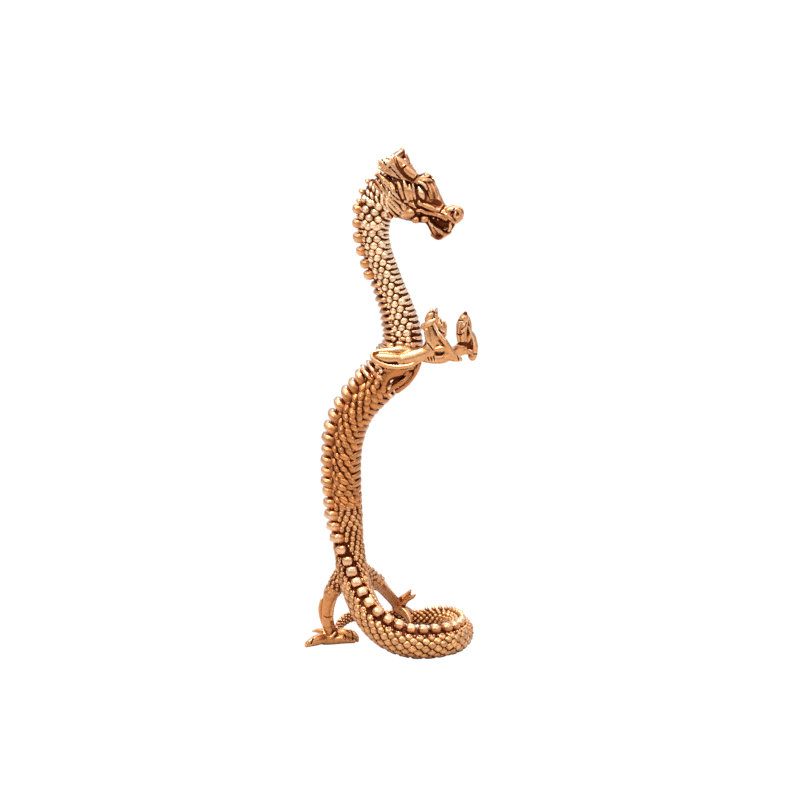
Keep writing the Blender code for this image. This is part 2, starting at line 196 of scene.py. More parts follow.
@dataclass(frozen=True)
class HeadFrame:
    """The head's own directions: forward of the nape, to one side, and up from the ground.

    Attributes:
        turn: How far the head turns to the figure's right, in radians.
        nape: The point of the grid under the nape.
    """

    turn: float = math.radians(20.0)
    nape: Point = (8.0, -18.0)

    def to_grid(self, points: Rows) -> Rows:
        """Points of the grid, from ones in the head's own directions."""
        forward, side, height = np.asarray(points, float).T
        across = math.sin(self.turn)
        ahead = math.cos(self.turn)
        x = self.nape[0] + forward * ahead + side * across
        y = self.nape[1] - forward * across + side * ahead
        return np.stack([x, y, height], axis=1)


def read_values(mesh: Mesh, name: str) -> Rows:
    """A number of every point of a mesh, by the attribute's name."""
    values = np.empty(len(mesh.vertices), np.float32)
    mesh.attributes[name].data.foreach_get("value", values)
    return values


def write_values(mesh: Mesh, name: str, values: Rows) -> None:
    """Gives every point of a mesh a number."""
    if name not in mesh.attributes:
        mesh.attributes.new(name, "FLOAT", "POINT")
    mesh.attributes[name].data.foreach_set("value", values.astype(np.float32))


@dataclass
class CastMesh:
    """A mesh in the making, in squares of the grid.

    Attributes:
        corners: One row of three numbers for each corner.
        faces: Each face's corner numbers.
        relief: How open each corner lies, from 0 in a recess to 1 on a crown.
    """

    corners: Rows
    faces: list[tuple[int, ...]] | Rows
    relief: Rows

    def bake(self, grid: PoseGrid | None = None) -> Mesh:
        """Makes the Blender mesh.

        Args:
            grid: The grid that its corners are on, or none if they are used as they are.

        Returns:
            The mesh, with its relief in a point attribute.
        """
        mesh = bpy.data.meshes.new("cast")
        placed = self.corners if grid is None else grid.place(self.corners)
        faces = self.faces.tolist() if isinstance(self.faces, Rows) else self.faces
        mesh.from_pydata(placed.tolist(), [], faces)
        write_values(mesh, "relief", self.relief)
        mesh.shade_smooth()
        mesh.update()
        return mesh


@dataclass(frozen=True)
class Rings:
    """Cross sections of the body, as rows of numbers.

    Attributes:
        spot: Middles of the sections.
        along: The way to the tail.
        ridge: The way the ridge of the back faces.
        side: The way the near flank faces on the upright body.
        depth: Half depths, from the middle to the ridge.
        width: Half widths.
    """

    spot: Rows
    along: Rows
    ridge: Rows
    side: Rows
    depth: Rows
    width: Rows

    def skin(self, angles: Rows, lift: float = 0.0) -> tuple[Rows, Rows]:
        """Points of the skin, one on each section, and the ways it faces there.

        Args:
            angles: How far round from the ridge each point is, in radians.
            lift: How far the points stand off the skin.

        Returns:
            The points and the outward directions.
        """
        cosine = np.cos(angles)[:, None]
        sine = np.sin(angles)[:, None]
        depth = self.depth[:, None]
        width = self.width[:, None]
        out = self.ridge * depth * cosine + self.side * width * sine
        facing = unit(self.ridge * cosine / depth + self.side * sine / width)
        return self.spot + out + facing * lift, facing


@dataclass
class Spine:
    """The line that the body's sections follow, measured along its length.

    Attributes:
        steps: Fine steps between two points of the line.
    """

    steps: int = 30
    places: Rows = field(init=False)
    lengths: Rows = field(init=False)
    rows: Rows = field(init=False)

    def __post_init__(self) -> None:
        """Measures the line."""
        line = np.array(BODY_LINE, float)
        self.places = np.linspace(0.0, len(line) - 1.0, (len(line) - 1) * self.steps + 1)
        self.rows = smooth_rows(line, self.places)
        gaps = np.linalg.norm(np.diff(self.rows[:, :3], axis=0), axis=1)
        self.lengths = np.concatenate([[0.0], np.cumsum(gaps)])

    def length_at(self, place: float) -> float:
        """How far along the body a place of BODY_LINE is."""
        return float(np.interp(place, self.places, self.lengths))

    def place_at(self, lengths: Rows) -> Rows:
        """The places of BODY_LINE at some lengths along the body."""
        return np.interp(lengths, self.lengths, self.places)

    def rings(self, lengths: Rows) -> Rings:
        """The body's sections at some lengths along it.

        Args:
            lengths: Lengths from the nape.

        Returns:
            The sections.
        """
        reach = 0.5
        columns = rows_at(self.lengths, self.rows, lengths)
        ahead = rows_at(self.lengths, self.rows[:, :3], lengths + reach)
        behind = rows_at(self.lengths, self.rows[:, :3], lengths - reach)
        along = unit((ahead - behind).T)
        facing = np.array(RIDGE_FACING, float)
        facing[:, 1:] = unit(facing[:, 1:])
        places = self.place_at(lengths)
        towards = rows_at(facing[:, 0], facing[:, 1:], places).T
        ridge = unit(towards - along * np.sum(towards * along, axis=1, keepdims=True))
        return Rings(columns[:3].T, along, ridge, np.cross(along, ridge), columns[3], columns[4])

    def bands(self, lengths: Rows) -> tuple[Rows, Rows]:
        """Where the flank's scales start and end, in radians round from the ridge."""
        places = self.place_at(lengths)
        edges = np.radians(np.array(BAND_EDGES, float))
        stops = np.array(BAND_EDGES, float)[:, 0]
        ridge_edge = np.interp(places, stops, edges[:, 1])
        return ridge_edge, math.pi - np.interp(places, stops, edges[:, 2])


class NodeDesk:
    """Adds nodes to a tree and joins them."""

    def __init__(self, tree: bpy.types.NodeTree) -> None:
        """Keeps the tree that the nodes go into."""
        self.tree = tree

    def add(self, kind: str, inputs: dict[str, object] | None = None, **settings: object) -> bpy.types.Node:
        """Adds a node.

        Args:
            kind: The node's type.
            inputs: Values or other nodes' outputs, by their sockets' names.
            settings: The node's own settings.

        Returns:
            The node.
        """
        node = self.tree.nodes.new(kind)
        for name, value in settings.items():
            setattr(node, name, value)
        for name, value in (inputs or {}).items():
            self.feed(node, name, value)
        return node

    def feed(self, node: bpy.types.Node, name: str, value: object) -> None:
        """Sets a socket of a node, or joins another node's output to it.

        Args:
            node: The node.
            name: The socket's name.
            value: A value, or an output socket.
        """
        target = next(socket for socket in node.inputs if socket.name == name and socket.enabled)
        if isinstance(value, Socket):
            self.tree.links.new(value, target)
        else:
            target.default_value = value

    @staticmethod
    def out(node: bpy.types.Node, name: str) -> Socket:
        """The output of a node that is in use under a name."""
        return next(socket for socket in node.outputs if socket.name == name and socket.enabled)

    def math(self, operation: str, first: object, second: object = 0.0) -> Socket:
        """A sum of two numbers, of any kind."""
        node = self.tree.nodes.new("ShaderNodeMath")
        node.operation = operation
        for socket, value in zip(node.inputs, (first, second)):
            if isinstance(value, Socket):
                self.tree.links.new(value, socket)
            else:
                socket.default_value = value
        return node.outputs[0]

    def span(self, value: object, low: object, high: object) -> Socket:
        """A soft step from 0 to 1 as a value goes from low to high."""
        node = self.add(
            "ShaderNodeMapRange",
            {"Value": value, "From Min": low, "From Max": high},
            interpolation_type="SMOOTHSTEP",
        )
        return node.outputs[0]

    def blend(self, share: object, first: object, second: object) -> Socket:
        """A colour between two colours."""
        node = self.add("ShaderNodeMix", data_type="RGBA")
        self.feed(node, "Factor", share)
        self.feed(node, "A", first)
        self.feed(node, "B", second)
        return self.out(node, "Result")


class AntiqueCopper:
    """The shader group of old copper: dark in its recesses, and bright on its crowns, part worn metal and
    part painted highlight.
    """

    COLOURS = ("Copper", "Rubbed", "Tarnish", "Patina")
    NUMBERS = ("Relief", "Tone", "Clean From", "Clean To", "Rub", "Mottle", "Polish", "Dullness")
    STAINS, FLECKS, GRAINS, PITS = 420.0, 1500.0, 6500.0, 2600.0
    OUTPUTS = (
        ("Colour", "NodeSocketColor"),
        ("Roughness", "NodeSocketFloat"),
        ("Metallic", "NodeSocketFloat"),
        ("Shine", "NodeSocketFloat"),
        ("Height", "NodeSocketFloat"),
    )

    def __init__(self) -> None:
        """Builds the group."""
        self.tree = bpy.data.node_groups.new("antique_copper", "ShaderNodeTree")
        for name in self.COLOURS:
            self.tree.interface.new_socket(name, in_out="INPUT", socket_type="NodeSocketColor")
        for name in self.NUMBERS:
            self.tree.interface.new_socket(name, in_out="INPUT", socket_type="NodeSocketFloat")
        for name, kind in self.OUTPUTS:
            self.tree.interface.new_socket(name, in_out="OUTPUT", socket_type=kind)
        self._fill()

    def _noise(self, desk: NodeDesk, place: Socket, scale: float, detail: float) -> Socket:
        """A noise on the metal, with as many features in a metre as its scale."""
        node = desk.add("ShaderNodeTexNoise", {"Vector": place, "Scale": scale, "Detail": detail})
        return node.outputs[0]

    def _fill(self) -> None:
        """Adds the group's nodes: stained patches, bright crowns of worn metal and painted highlight,
        roughness and fine grain.
        """
        desk = NodeDesk(self.tree)
        given = desk.add("NodeGroupInput").outputs
        place = desk.add("ShaderNodeTexCoord").outputs["Object"]
        stain_and_shade = self._noise(desk, place, self.STAINS, 3.0)
        fleck = self._noise(desk, place, self.FLECKS, 2.0)
        grain = self._noise(desk, place, self.GRAINS, 2.0)
        pits = desk.add("ShaderNodeTexVoronoi", {"Vector": place, "Scale": self.PITS}).outputs[0]
        lean = desk.math("MULTIPLY", desk.math("SUBTRACT", fleck, 0.5), given["Mottle"])
        wavering = desk.math("ADD", given["Relief"], lean)
        clean = desk.span(wavering, given["Clean From"], given["Clean To"])
        stained = desk.math("MULTIPLY", desk.span(stain_and_shade, 0.46, 0.72), given["Mottle"])
        stained = desk.math("MINIMUM", desk.math("MULTIPLY", stained, 1.6), 0.8)
        metal = desk.blend(stained, given["Copper"], given["Tarnish"])
        # Bright crown colour where the relief is high: part worn metal, part painted highlight.
        crowned = desk.math("MULTIPLY", desk.span(wavering, 0.64, 1.04), given["Rub"])
        metal = desk.blend(crowned, metal, given["Rubbed"])
        shade = desk.math("ADD", desk.math("MULTIPLY", given["Tone"], 0.34), 0.74)
        toned = desk.add("ShaderNodeVectorMath", operation="SCALE")
        desk.tree.links.new(metal, toned.inputs[0])
        desk.feed(toned, "Scale", shade)
        colour = desk.blend(clean, given["Patina"], toned.outputs[0])
        rough = desk.math("MULTIPLY", desk.math("SUBTRACT", fleck, 0.5), 0.16)
        # Roughness of the clean metal, with a little noise.
        rubbed = desk.math("ADD", given["Polish"], rough)
        worn = desk.math("MULTIPLY", desk.math("SUBTRACT", given["Dullness"], rubbed), clean)
        roughness = desk.math("SUBTRACT", given["Dullness"], worn)
        metallic = desk.math("ADD", desk.math("MULTIPLY", clean, 0.2), 0.8)
        height = desk.math("ADD", grain, desk.math("MULTIPLY", pits, 0.5))
        result = desk.add("NodeGroupOutput")
        values = (colour, roughness, metallic, desk.math("MULTIPLY", clean, 0.65), height)
        for (name, _), value in zip(self.OUTPUTS, values):
            desk.feed(result, name, value)


@dataclass(frozen=True)
class CopperFinish:
    """One finish of the old copper.

    Attributes:
        copper: Colour of the clean metal.
        rubbed: Its colour on the crowns, part worn metal and part painted highlight.
        tarnish: Its colour where it is stained.
        patina: Colour in the recesses.
        clean_from: The relief at which the patina starts to give way.
        clean_to: The relief from which the metal is clean.
        rub: How much of the crown colour, worn metal and painted highlight, the crowns have.
        mottle: How uneven the finish is.
        polish: Roughness of the clean, polished metal.
        dullness: Roughness of the patina.
        bump: How deep the grain is.
    """

    copper: Colour = (0.62, 0.25, 0.075)
    rubbed: Colour = (0.92, 0.62, 0.38)
    tarnish: Colour = (0.40, 0.11, 0.020)
    patina: Colour = (0.12, 0.018, 0.001)
    clean_from: float = 0.22
    clean_to: float = 0.66
    rub: float = 0.6
    mottle: float = 0.35
    polish: float = 0.27
    dullness: float = 0.6
    bump: float = 0.12

    def material(self, name: str, group: AntiqueCopper) -> Material:
        """Makes the material.

        Args:
            name: The material's name.
            group: The shader group of old copper.

        Returns:
            The material, with the group in it and this finish's own values.
        """
        made = bpy.data.materials.new(name)
        made.use_nodes = True
        desk = NodeDesk(made.node_tree)
        shader = made.node_tree.nodes["Principled BSDF"]
        relief = desk.add("ShaderNodeAttribute", attribute_name="relief").outputs["Fac"]
        tone = desk.add("ShaderNodeAttribute", attribute_name="tone").outputs["Fac"]
        metal = desk.add("ShaderNodeGroup", node_tree=group.tree)
        desk.feed(metal, "Relief", relief)
        desk.feed(metal, "Tone", tone)
        for name in group.COLOURS:
            desk.feed(metal, name, (*getattr(self, name.lower()), 1.0))
        for name in group.NUMBERS[2:]:
            desk.feed(metal, name, getattr(self, name.lower().replace(" ", "_")))
        bump = desk.add("ShaderNodeBump", {"Height": desk.out(metal, "Height")})
        bump.inputs["Strength"].default_value = self.bump
        bump.inputs["Distance"].default_value = 0.0001
        desk.feed(shader, "Base Color", desk.out(metal, "Colour"))
        desk.feed(shader, "Roughness", desk.out(metal, "Roughness"))
        desk.feed(shader, "Metallic", desk.out(metal, "Metallic"))
        desk.feed(shader, "Coat Weight", desk.out(metal, "Shine"))
        desk.feed(shader, "Normal", bump.outputs["Normal"])
        shader.inputs["Coat Roughness"].default_value = 0.16
        return made


class Metal(Enum):
    """The finishes of the casting, each with its material's name."""

    GROUND = "recess_patina"
    SCALES = "scale_copper"
    WARM = "warm_copper"
    TAIL = "tail_copper"
    PLATES = "plate_copper"
    CARVED = "carved_copper"
    LIMBS = "limb_copper"
    # A darker copy of the copper with duller crowns, as painted shade on the trunk, the belly plates and the
    # fold of the shoulder.
    ARMS = "arm_copper"


FINISHES = {
    Metal.GROUND: CopperFinish(clean_from=0.2, clean_to=0.9, mottle=0.5),
    Metal.SCALES: CopperFinish((0.74, 0.40, 0.18), (0.98, 0.80, 0.60), rub=0.9),
    # Painted shade: a darker copy of the copper for parts that lie in shade.
    Metal.WARM: CopperFinish((0.47, 0.145, 0.022), (0.76, 0.36, 0.13), rub=0.5, mottle=0.45),
    Metal.TAIL: CopperFinish((0.55, 0.21, 0.05), (0.88, 0.57, 0.30), rub=0.5, mottle=0.45),
    Metal.PLATES: CopperFinish((0.60, 0.22, 0.055), clean_to=0.70),
    Metal.CARVED: CopperFinish(rubbed=(0.95, 0.70, 0.46), clean_from=0.34, clean_to=0.72, mottle=0.5),
    Metal.LIMBS: CopperFinish(
        (0.57, 0.20, 0.045), (0.90, 0.57, 0.30), clean_from=0.2, clean_to=0.56, mottle=0.28
    ),
    Metal.ARMS: CopperFinish((0.66, 0.28, 0.09), (0.96, 0.72, 0.48), clean_to=0.58, rub=0.8, mottle=0.3),
}


def mixed_finishes() -> dict[Metal, Material]:
    """Mixes every finish from the one shader group."""
    group = AntiqueCopper()
    return {metal: finish.material(metal.value, group) for metal, finish in FINISHES.items()}


@dataclass
class Workshop:
    """What every part of the figure is made with."""

    grid: PoseGrid
    finishes: dict[Metal, Material]
    spine: Spine = field(default_factory=Spine)
    head_frame: HeadFrame = field(default_factory=HeadFrame)

    def add(self, name: str, mesh: Mesh, finish: Material) -> None:
        """Puts a finished mesh on the casting, with painted shade on the faces that look down.

        Args:
            name: The piece's name.
            mesh: Its mesh, in place.
            finish: Its material.
        """
        mesh.name = name
        spots = np.empty(len(mesh.vertices) * 3, np.float32)
        mesh.vertices.foreach_get("co", spots)
        spots[2::3] = np.maximum(spots[2::3], 0.0)
        mesh.vertices.foreach_set("co", spots)
        mesh.update()
        facing = np.empty(len(mesh.vertices) * 3, np.float32)
        mesh.vertex_normals.foreach_get("vector", facing)
        relief = read_values(mesh, "relief")
        # Painted shade: faces that look down get a lower relief, so they take more patina and less of the
        # bright crown colour.
        relief *= np.interp(facing[2::3], (-0.9, 0.3), (0.84, 1.0))
        write_values(mesh, "relief", relief)
        if "tone" not in mesh.attributes:
            write_values(mesh, "tone", np.full(len(mesh.vertices), 0.6))
        mesh.materials.clear()
        mesh.materials.append(finish)
        piece = bpy.data.objects.new(name, mesh)
        bpy.context.scene.collection.objects.link(piece)
        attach(piece, BODY)
        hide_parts(CASTING)
        LOG.info("%s: %d faces", name, len(mesh.polygons))


@dataclass(frozen=True)
class ScaleForm:
    """The carved form of a scale, as a dome over an outline one unit out each way.

    Attributes:
        sides: Corners round its outline.
        squareness: 1 is a diamond, 2 an oval, and more is nearer a square.
        point: How much it narrows to its back end.
        rake: How much higher it is at the back than at the front.
        crown: How flat its top is: 1 is a cone, 2 a dome, and more is flatter.
        least: The relief just above its foot.
        shares: How wide each of its rings is.
    """

    name: str
    sides: int = 10
    squareness: float = 2.0
    point: float = 0.0
    rake: float = 0.0
    crown: float = 2.2
    least: float = 0.0
    shares: Point = (0.9, 1.0, 0.93, 0.76, 0.5, 0.22)

    def mesh(self) -> Mesh:
        """Makes the form: a foot sunk in the ground, then rings up to the crown."""
        turn = np.arange(self.sides) * WHOLE_TURN / self.sides
        cosine, sine = np.cos(turn), np.sin(turn)
        power = self.squareness
        reach = (np.abs(cosine) ** power + np.abs(sine) ** power) ** (-1.0 / power)
        corners = [np.array([[0.0, 0.0, -0.7]])]
        relief = [np.zeros(1)]
        for number, share in enumerate(self.shares):
            x = share * reach * cosine
            y = share * reach * sine * (1.0 - self.point * x)
            rise = max(1.0 - share**self.crown, 0.0)
            height = -0.6 if number == 0 else rise
            z = np.full(self.sides, height) * (1.0 + self.rake * x)
            corners.append(np.stack([x, y, z], axis=1))
            lit = 0.0 if number == 0 else self.least + (1.0 - self.least) * rise**0.7
            relief.append(np.full(self.sides, lit))
        corners.append(np.array([[0.0, 0.0, 1.0]]))
        relief.append(np.ones(1))
        faces = stacked_faces(len(self.shares), self.sides)
        return CastMesh(np.concatenate(corners), faces, np.concatenate(relief)).bake()


def stacked_faces(rings: int, sides: int) -> list[tuple[int, ...]]:
    """Faces of a closed skin: one corner, rings that each have as many corners, and one corner.

    Args:
        rings: How many rings there are.
        sides: Corners of each ring, counter-clockwise as seen from the last corner.

    Returns:
        The faces, which point outwards.
    """
    faces: list[tuple[int, ...]] = []
    last = 1 + rings * sides
    for side in range(sides):
        beside = (side + 1) % sides
        faces.append((0, 1 + beside, 1 + side))
        for ring in range(rings - 1):
            low = 1 + ring * sides
            high = low + sides
            faces.append((low + side, low + beside, high + beside, high + side))
        top = last - sides
        faces.append((top + side, top + beside, last))
    return faces


@dataclass(frozen=True)
class PlateForm:
    """A plate that wraps part of the body, as a rounded bar bent to an arc of radius one.

    Attributes:
        reach: How far it wraps to each side, in degrees.
        stand: How far it stands out of the arc.
        steps: Steps along the bar.
        sides: Corners round the bar.
        keel: How much farther it stands out in its middle.
        sag: How far its middle lies to the tail, in its half thicknesses.
    """

    name: str
    reach: float
    stand: float = 0.12
    steps: int = 16
    sides: int = 8
    keel: float = 0.0
    sag: float = 0.0

    def mesh(self) -> Mesh:
        """Makes the form: its bar runs across Z, and X is its thickness along the body."""
        corners = []
        relief = []
        turn = np.arange(self.sides) * WHOLE_TURN / self.sides
        for step in range(self.steps + 1):
            share = 2.0 * step / self.steps - 1.0
            angle = share * math.radians(self.reach)
            swell = max(1.0 - abs(share) ** 5, 0.0) ** 0.5
            swell = 0.25 + 0.75 * swell
            out = np.sin(turn)
            proud = (self.stand + self.keel * (1.0 - share**2) ** 2) * swell
            radius = 1.0 + np.where(out > 0.0, proud * out, 0.10 * out)
            x = -np.sign(np.cos(turn)) * np.abs(np.cos(turn)) ** 0.8 * swell
            x += self.sag * (1.0 - share**2)
            ring = np.stack([x, radius * math.sin(angle), radius * math.cos(angle)], axis=1)
            corners.append(ring)
            relief.append(0.1 + 0.9 * np.clip(out, 0.0, 1.0) ** 0.8)
        ends = [ring.mean(axis=0)[None] for ring in (corners[0], corners[-1])]
        shape = np.concatenate([ends[0], *corners, ends[1]])
        lit = np.concatenate([[0.2], *relief, [0.2]])
        return CastMesh(shape, stacked_faces(self.steps + 1, self.sides), lit).bake()


@dataclass(frozen=True)
class PebbleForm:
    """A tooth, plate or knob of the ridge, as a rounded block one unit out each way.

    Attributes:
        roundness: 1 is a ball, and less is nearer a block.
        lean: How far the top leans back along the body.
        tip: How much the top narrows to its tip.
    """

    name: str
    roundness: float = 0.7
    lean: float = 0.0
    tip: float = 0.0
    rings: int = 9
    sides: int = 12

    def mesh(self) -> Mesh:
        """Makes the form, with its foot at -1 and its top at 1."""
        corners = [np.array([[0.0, 0.0, -1.0]])]
        relief = [np.zeros(1)]
        turn = np.arange(self.sides) * WHOLE_TURN / self.sides
        square = [np.sign(f) * np.abs(f) ** self.roundness for f in (np.cos(turn), np.sin(turn))]
        for ring in range(1, self.rings + 1):
            tilt = math.pi * (ring / (self.rings + 1) - 0.5)
            height = math.copysign(abs(math.sin(tilt)) ** self.roundness, tilt)
            girth = math.cos(tilt) ** self.roundness * (1.0 - self.tip * max(height, 0.0) ** 2)
            back = self.lean * (0.5 + 0.5 * height) ** 2
            z = np.full(self.sides, height)
            corners.append(np.stack([girth * square[0] + back, girth * square[1], z], axis=1))
            lit = np.clip(0.55 + 0.6 * height, 0.0, 1.0)
            relief.append(np.clip(lit + 0.12 * square[0], 0.0, 1.0) * np.ones(self.sides))
        corners.append(np.array([[self.lean, 0.0, 1.0]]))
        relief.append(np.ones(1))
        faces = stacked_faces(self.rings, self.sides)
        return CastMesh(np.concatenate(corners), faces, np.concatenate(relief)).bake()


@dataclass
class Seeds:
    """Places for the carved forms of one coat, as rows of numbers.

    Attributes:
        spot: Where each form stands.
        outward: The way its top faces.
        lengthwise: The way its back end points.
        extent: Its half length, half width and height.
    """

    spot: list[Rows] = field(default_factory=list)
    outward: list[Rows] = field(default_factory=list)
    lengthwise: list[Rows] = field(default_factory=list)
    extent: list[Rows] = field(default_factory=list)

    def sow(self, spot: Rows, outward: Rows, lengthwise: Rows, extent: Rows) -> None:
        """Adds rows of places."""
        self.spot.append(np.atleast_2d(spot))
        self.outward.append(np.atleast_2d(outward))
        self.lengthwise.append(np.atleast_2d(lengthwise))
        self.extent.append(np.atleast_2d(extent))

    def mesh(self, grid: PoseGrid) -> Mesh:
        """The places as a mesh of loose points, in metres, with the rest as attributes."""
        spots = np.concatenate(self.spot)
        mesh = bpy.data.meshes.new("seeds")
        mesh.from_pydata(grid.place(spots).tolist(), [], [])
        rows = {
            "outward": np.concatenate(self.outward),
            "lengthwise": np.concatenate(self.lengthwise),
            "extent": np.concatenate(self.extent) * grid.square,
        }
        for name, values in rows.items():
            mesh.attributes.new(name, "FLOAT_VECTOR", "POINT")
            mesh.attributes[name].data.foreach_set("vector", values.astype(np.float32).ravel())
        return mesh


class Coat:
    """The Geometry Nodes tree that sets a carved form on every seed."""

    ATTRIBUTES = ("outward", "lengthwise", "extent")

    def __init__(self) -> None:
        """Builds the tree."""
        self.tree = bpy.data.node_groups.new("carved_coat", "GeometryNodeTree")
        face = self.tree.interface
        for name, kind in (
            ("Seeds", "NodeSocketGeometry"),
            ("Form", "NodeSocketObject"),
            ("Finish", "NodeSocketMaterial"),
            ("Turn", "NodeSocketFloat"),
            ("Spread", "NodeSocketFloat"),
            ("Draw", "NodeSocketInt"),
        ):
            face.new_socket(name, in_out="INPUT", socket_type=kind)
        face.new_socket("Coat", in_out="OUTPUT", socket_type="NodeSocketGeometry")
        self._fill()

    def _random(self, desk: NodeDesk, low: object, high: object, draw: object) -> Socket:
        """A random number for each seed."""
        limits = {"Min": low, "Max": high, "Seed": draw}
        node = desk.add("FunctionNodeRandomValue", limits, data_type="FLOAT")
        return desk.out(node, "Value")

    def _fill(self) -> None:
        """Adds the tree's nodes: stand, turn, size, tone, join and dress."""
        desk = NodeDesk(self.tree)
        given = desk.add("NodeGroupInput").outputs
        read = {}
        for name in self.ATTRIBUTES:
            node = desk.add("GeometryNodeInputNamedAttribute", {"Name": name}, data_type="FLOAT_VECTOR")
            read[name] = desk.out(node, "Attribute")
        stand = desk.add("FunctionNodeAxesToRotation", primary_axis="Z", secondary_axis="X")
        self.tree.links.new(read["outward"], stand.inputs[0])
        self.tree.links.new(read["lengthwise"], stand.inputs[1])
        back = desk.math("MULTIPLY", given["Turn"], -1.0)
        angle = self._random(desk, back, given["Turn"], given["Draw"])
        spin = desk.add("FunctionNodeAxisAngleToRotation", {"Axis": (0.0, 0.0, 1.0), "Angle": angle})
        turned = desk.add("FunctionNodeRotateRotation", rotation_space="LOCAL")
        desk.feed(turned, "Rotation", stand.outputs[0])
        desk.feed(turned, "Rotate By", spin.outputs[0])
        less = desk.math("SUBTRACT", 1.0, given["Spread"])
        more = desk.math("ADD", 1.0, given["Spread"])
        second = desk.math("ADD", given["Draw"], 7.0)
        size = self._random(desk, less, more, second)
        scaled = desk.add("ShaderNodeVectorMath", operation="SCALE")
        self.tree.links.new(read["extent"], scaled.inputs[0])
        desk.feed(scaled, "Scale", size)
        form = desk.add("GeometryNodeObjectInfo", {"Object": given["Form"]})
        where = {"Points": given["Seeds"], "Rotation": turned.outputs[0], "Scale": scaled.outputs[0]}
        stood = desk.add("GeometryNodeInstanceOnPoints", where | {"Instance": desk.out(form, "Geometry")})
        toned = desk.add("GeometryNodeStoreNamedAttribute", data_type="FLOAT", domain="INSTANCE")
        desk.feed(toned, "Geometry", stood.outputs[0])
        desk.feed(toned, "Name", "tone")
        third = desk.math("ADD", given["Draw"], 19.0)
        desk.feed(toned, "Value", self._random(desk, 0.15, 1.0, third))
        joined = desk.add("GeometryNodeRealizeInstances", {"Geometry": toned.outputs[0]})
        dressed = desk.add("GeometryNodeSetMaterial", {"Geometry": joined.outputs[0]})
        desk.feed(dressed, "Material", given["Finish"])
        desk.feed(desk.add("NodeGroupOutput"), "Coat", dressed.outputs[0])

    def lay(
        self,
        shop: Workshop,
        form: ScaleForm | PlateForm | PebbleForm,
        seeds: Seeds,
        finish: Material,
        turn: float = 0.08,
        spread: float = 0.06,
        draw: int = 1,
    ) -> Mesh:
        """Sets a form on every seed and joins them in a plain mesh.

        Args:
            shop: What the figure is made with.
            form: The form.
            seeds: Where the forms stand.
            finish: Their material.
            turn: The most that a form is turned, in radians.
            spread: The most that its size differs, as a share.
            draw: The number that fixes the random draws.

        Returns:
            The joined mesh.
        """
        shape = bpy.data.objects.new(form.name + "_form", form.mesh())
        holder = bpy.data.objects.new(form.name + "_seeds", seeds.mesh(shop.grid))
        for made in (shape, holder):
            bpy.context.scene.collection.objects.link(made)
        modifier = holder.modifiers.new("coat", "NODES")
        modifier.node_group = self.tree
        values = {"Form": shape, "Finish": finish, "Turn": turn, "Spread": spread, "Draw": draw}
        for item in self.tree.interface.items_tree:
            if item.item_type == "SOCKET" and item.in_out == "INPUT" and item.name in values:
                modifier[item.identifier] = values[item.name]
        bpy.context.view_layer.update()
        graph = bpy.context.evaluated_depsgraph_get()
        mesh = bpy.data.meshes.new_from_object(
            holder.evaluated_get(graph), preserve_all_data_layers=True, depsgraph=graph
        )
        for name in self.ATTRIBUTES:
            if name in mesh.attributes:
                mesh.attributes.remove(mesh.attributes[name])
        mesh.shade_smooth()
        for made in (holder, shape):
            bpy.data.objects.remove(made)
        return mesh


def merged(meshes: list[Mesh]) -> Mesh:
    """Joins plain meshes in one, with their relief and tone.

    Args:
        meshes: The meshes.

    Returns:
        The joined mesh.
    """
    corners: list[Rows] = []
    faces: list[tuple[int, ...]] = []
    values: dict[str, list[Rows]] = {"relief": [], "tone": []}
    count = 0
    for mesh in meshes:
        spots = np.empty(len(mesh.vertices) * 3, np.float32)
        mesh.vertices.foreach_get("co", spots)
        corners.append(spots.reshape(-1, 3))
        faces += [tuple(corner + count for corner in face.vertices) for face in mesh.polygons]
        for name, rows in values.items():
            rows.append(read_values(mesh, name))
        count += len(mesh.vertices)
    joined = CastMesh(np.concatenate(corners), faces, np.concatenate(values["relief"]))
    made = joined.bake()
    write_values(made, "tone", np.concatenate(values["tone"]))
    return made


@dataclass
class BodySkin:
    """The dark ground of the body, which shows in the grooves between the scales.

    Attributes:
        pitch: Distance between two rings of the skin.
        sides: Corners of each ring.
        sink: How far the ground lies under the casting's skin.
        rise: How far it rises under the ridge of the back.
        under_teeth: Places of BODY_LINE, and the share of that rise at each.
    """

    pitch: float = 2.6
    sides: int = 40
    sink: float = 1.3
    rise: float = 4.4
    under_teeth: tuple[Point, Point] = (
        (1.5, 2.4, 6.2, 6.9, 13.4, 14.2, 23.4, 24.2),
        (0, 0.8, 0.8, 0, 0, 1, 0.8, 0),
    )

    def build(self, shop: Workshop) -> None:
        """Lays the ground from the nape to the tip of the tail."""
        spine = shop.spine
        count = int(spine.lengths[-1] / self.pitch)
        lengths = np.linspace(0.0, spine.lengths[-1], count + 1)
        rings = spine.rings(lengths)
        share = np.clip(rings.depth / FULL_DEPTH, 0.2, 1.0)
        places = spine.place_at(lengths)
        back = np.interp(places, *self.under_teeth)
        corners = [rings.spot[:1] - rings.along[:1]]
        columns = []
        for side in range(self.sides):
            angle = np.full(len(lengths), -WHOLE_TURN * side / self.sides)
            spots, facing = rings.skin(angle)
            round_way = min(side, self.sides - side) * WHOLE_TURN / self.sides
            lift = self.rise * back * math.exp(-((round_way / 0.34) ** 2)) - self.sink
            columns.append(spots + facing * (lift * share)[:, None])
        corners.append(np.stack(columns, axis=1).reshape(-1, 3))
        corners.append(rings.spot[-1:] + rings.along[-1:])
        shape = np.concatenate(corners)
        faces = stacked_faces(len(lengths), self.sides)
        skin = CastMesh(shape, faces, np.full(len(shape), 0.12))
        shop.add("body_ground", skin.bake(shop.grid), shop.finishes[Metal.GROUND])


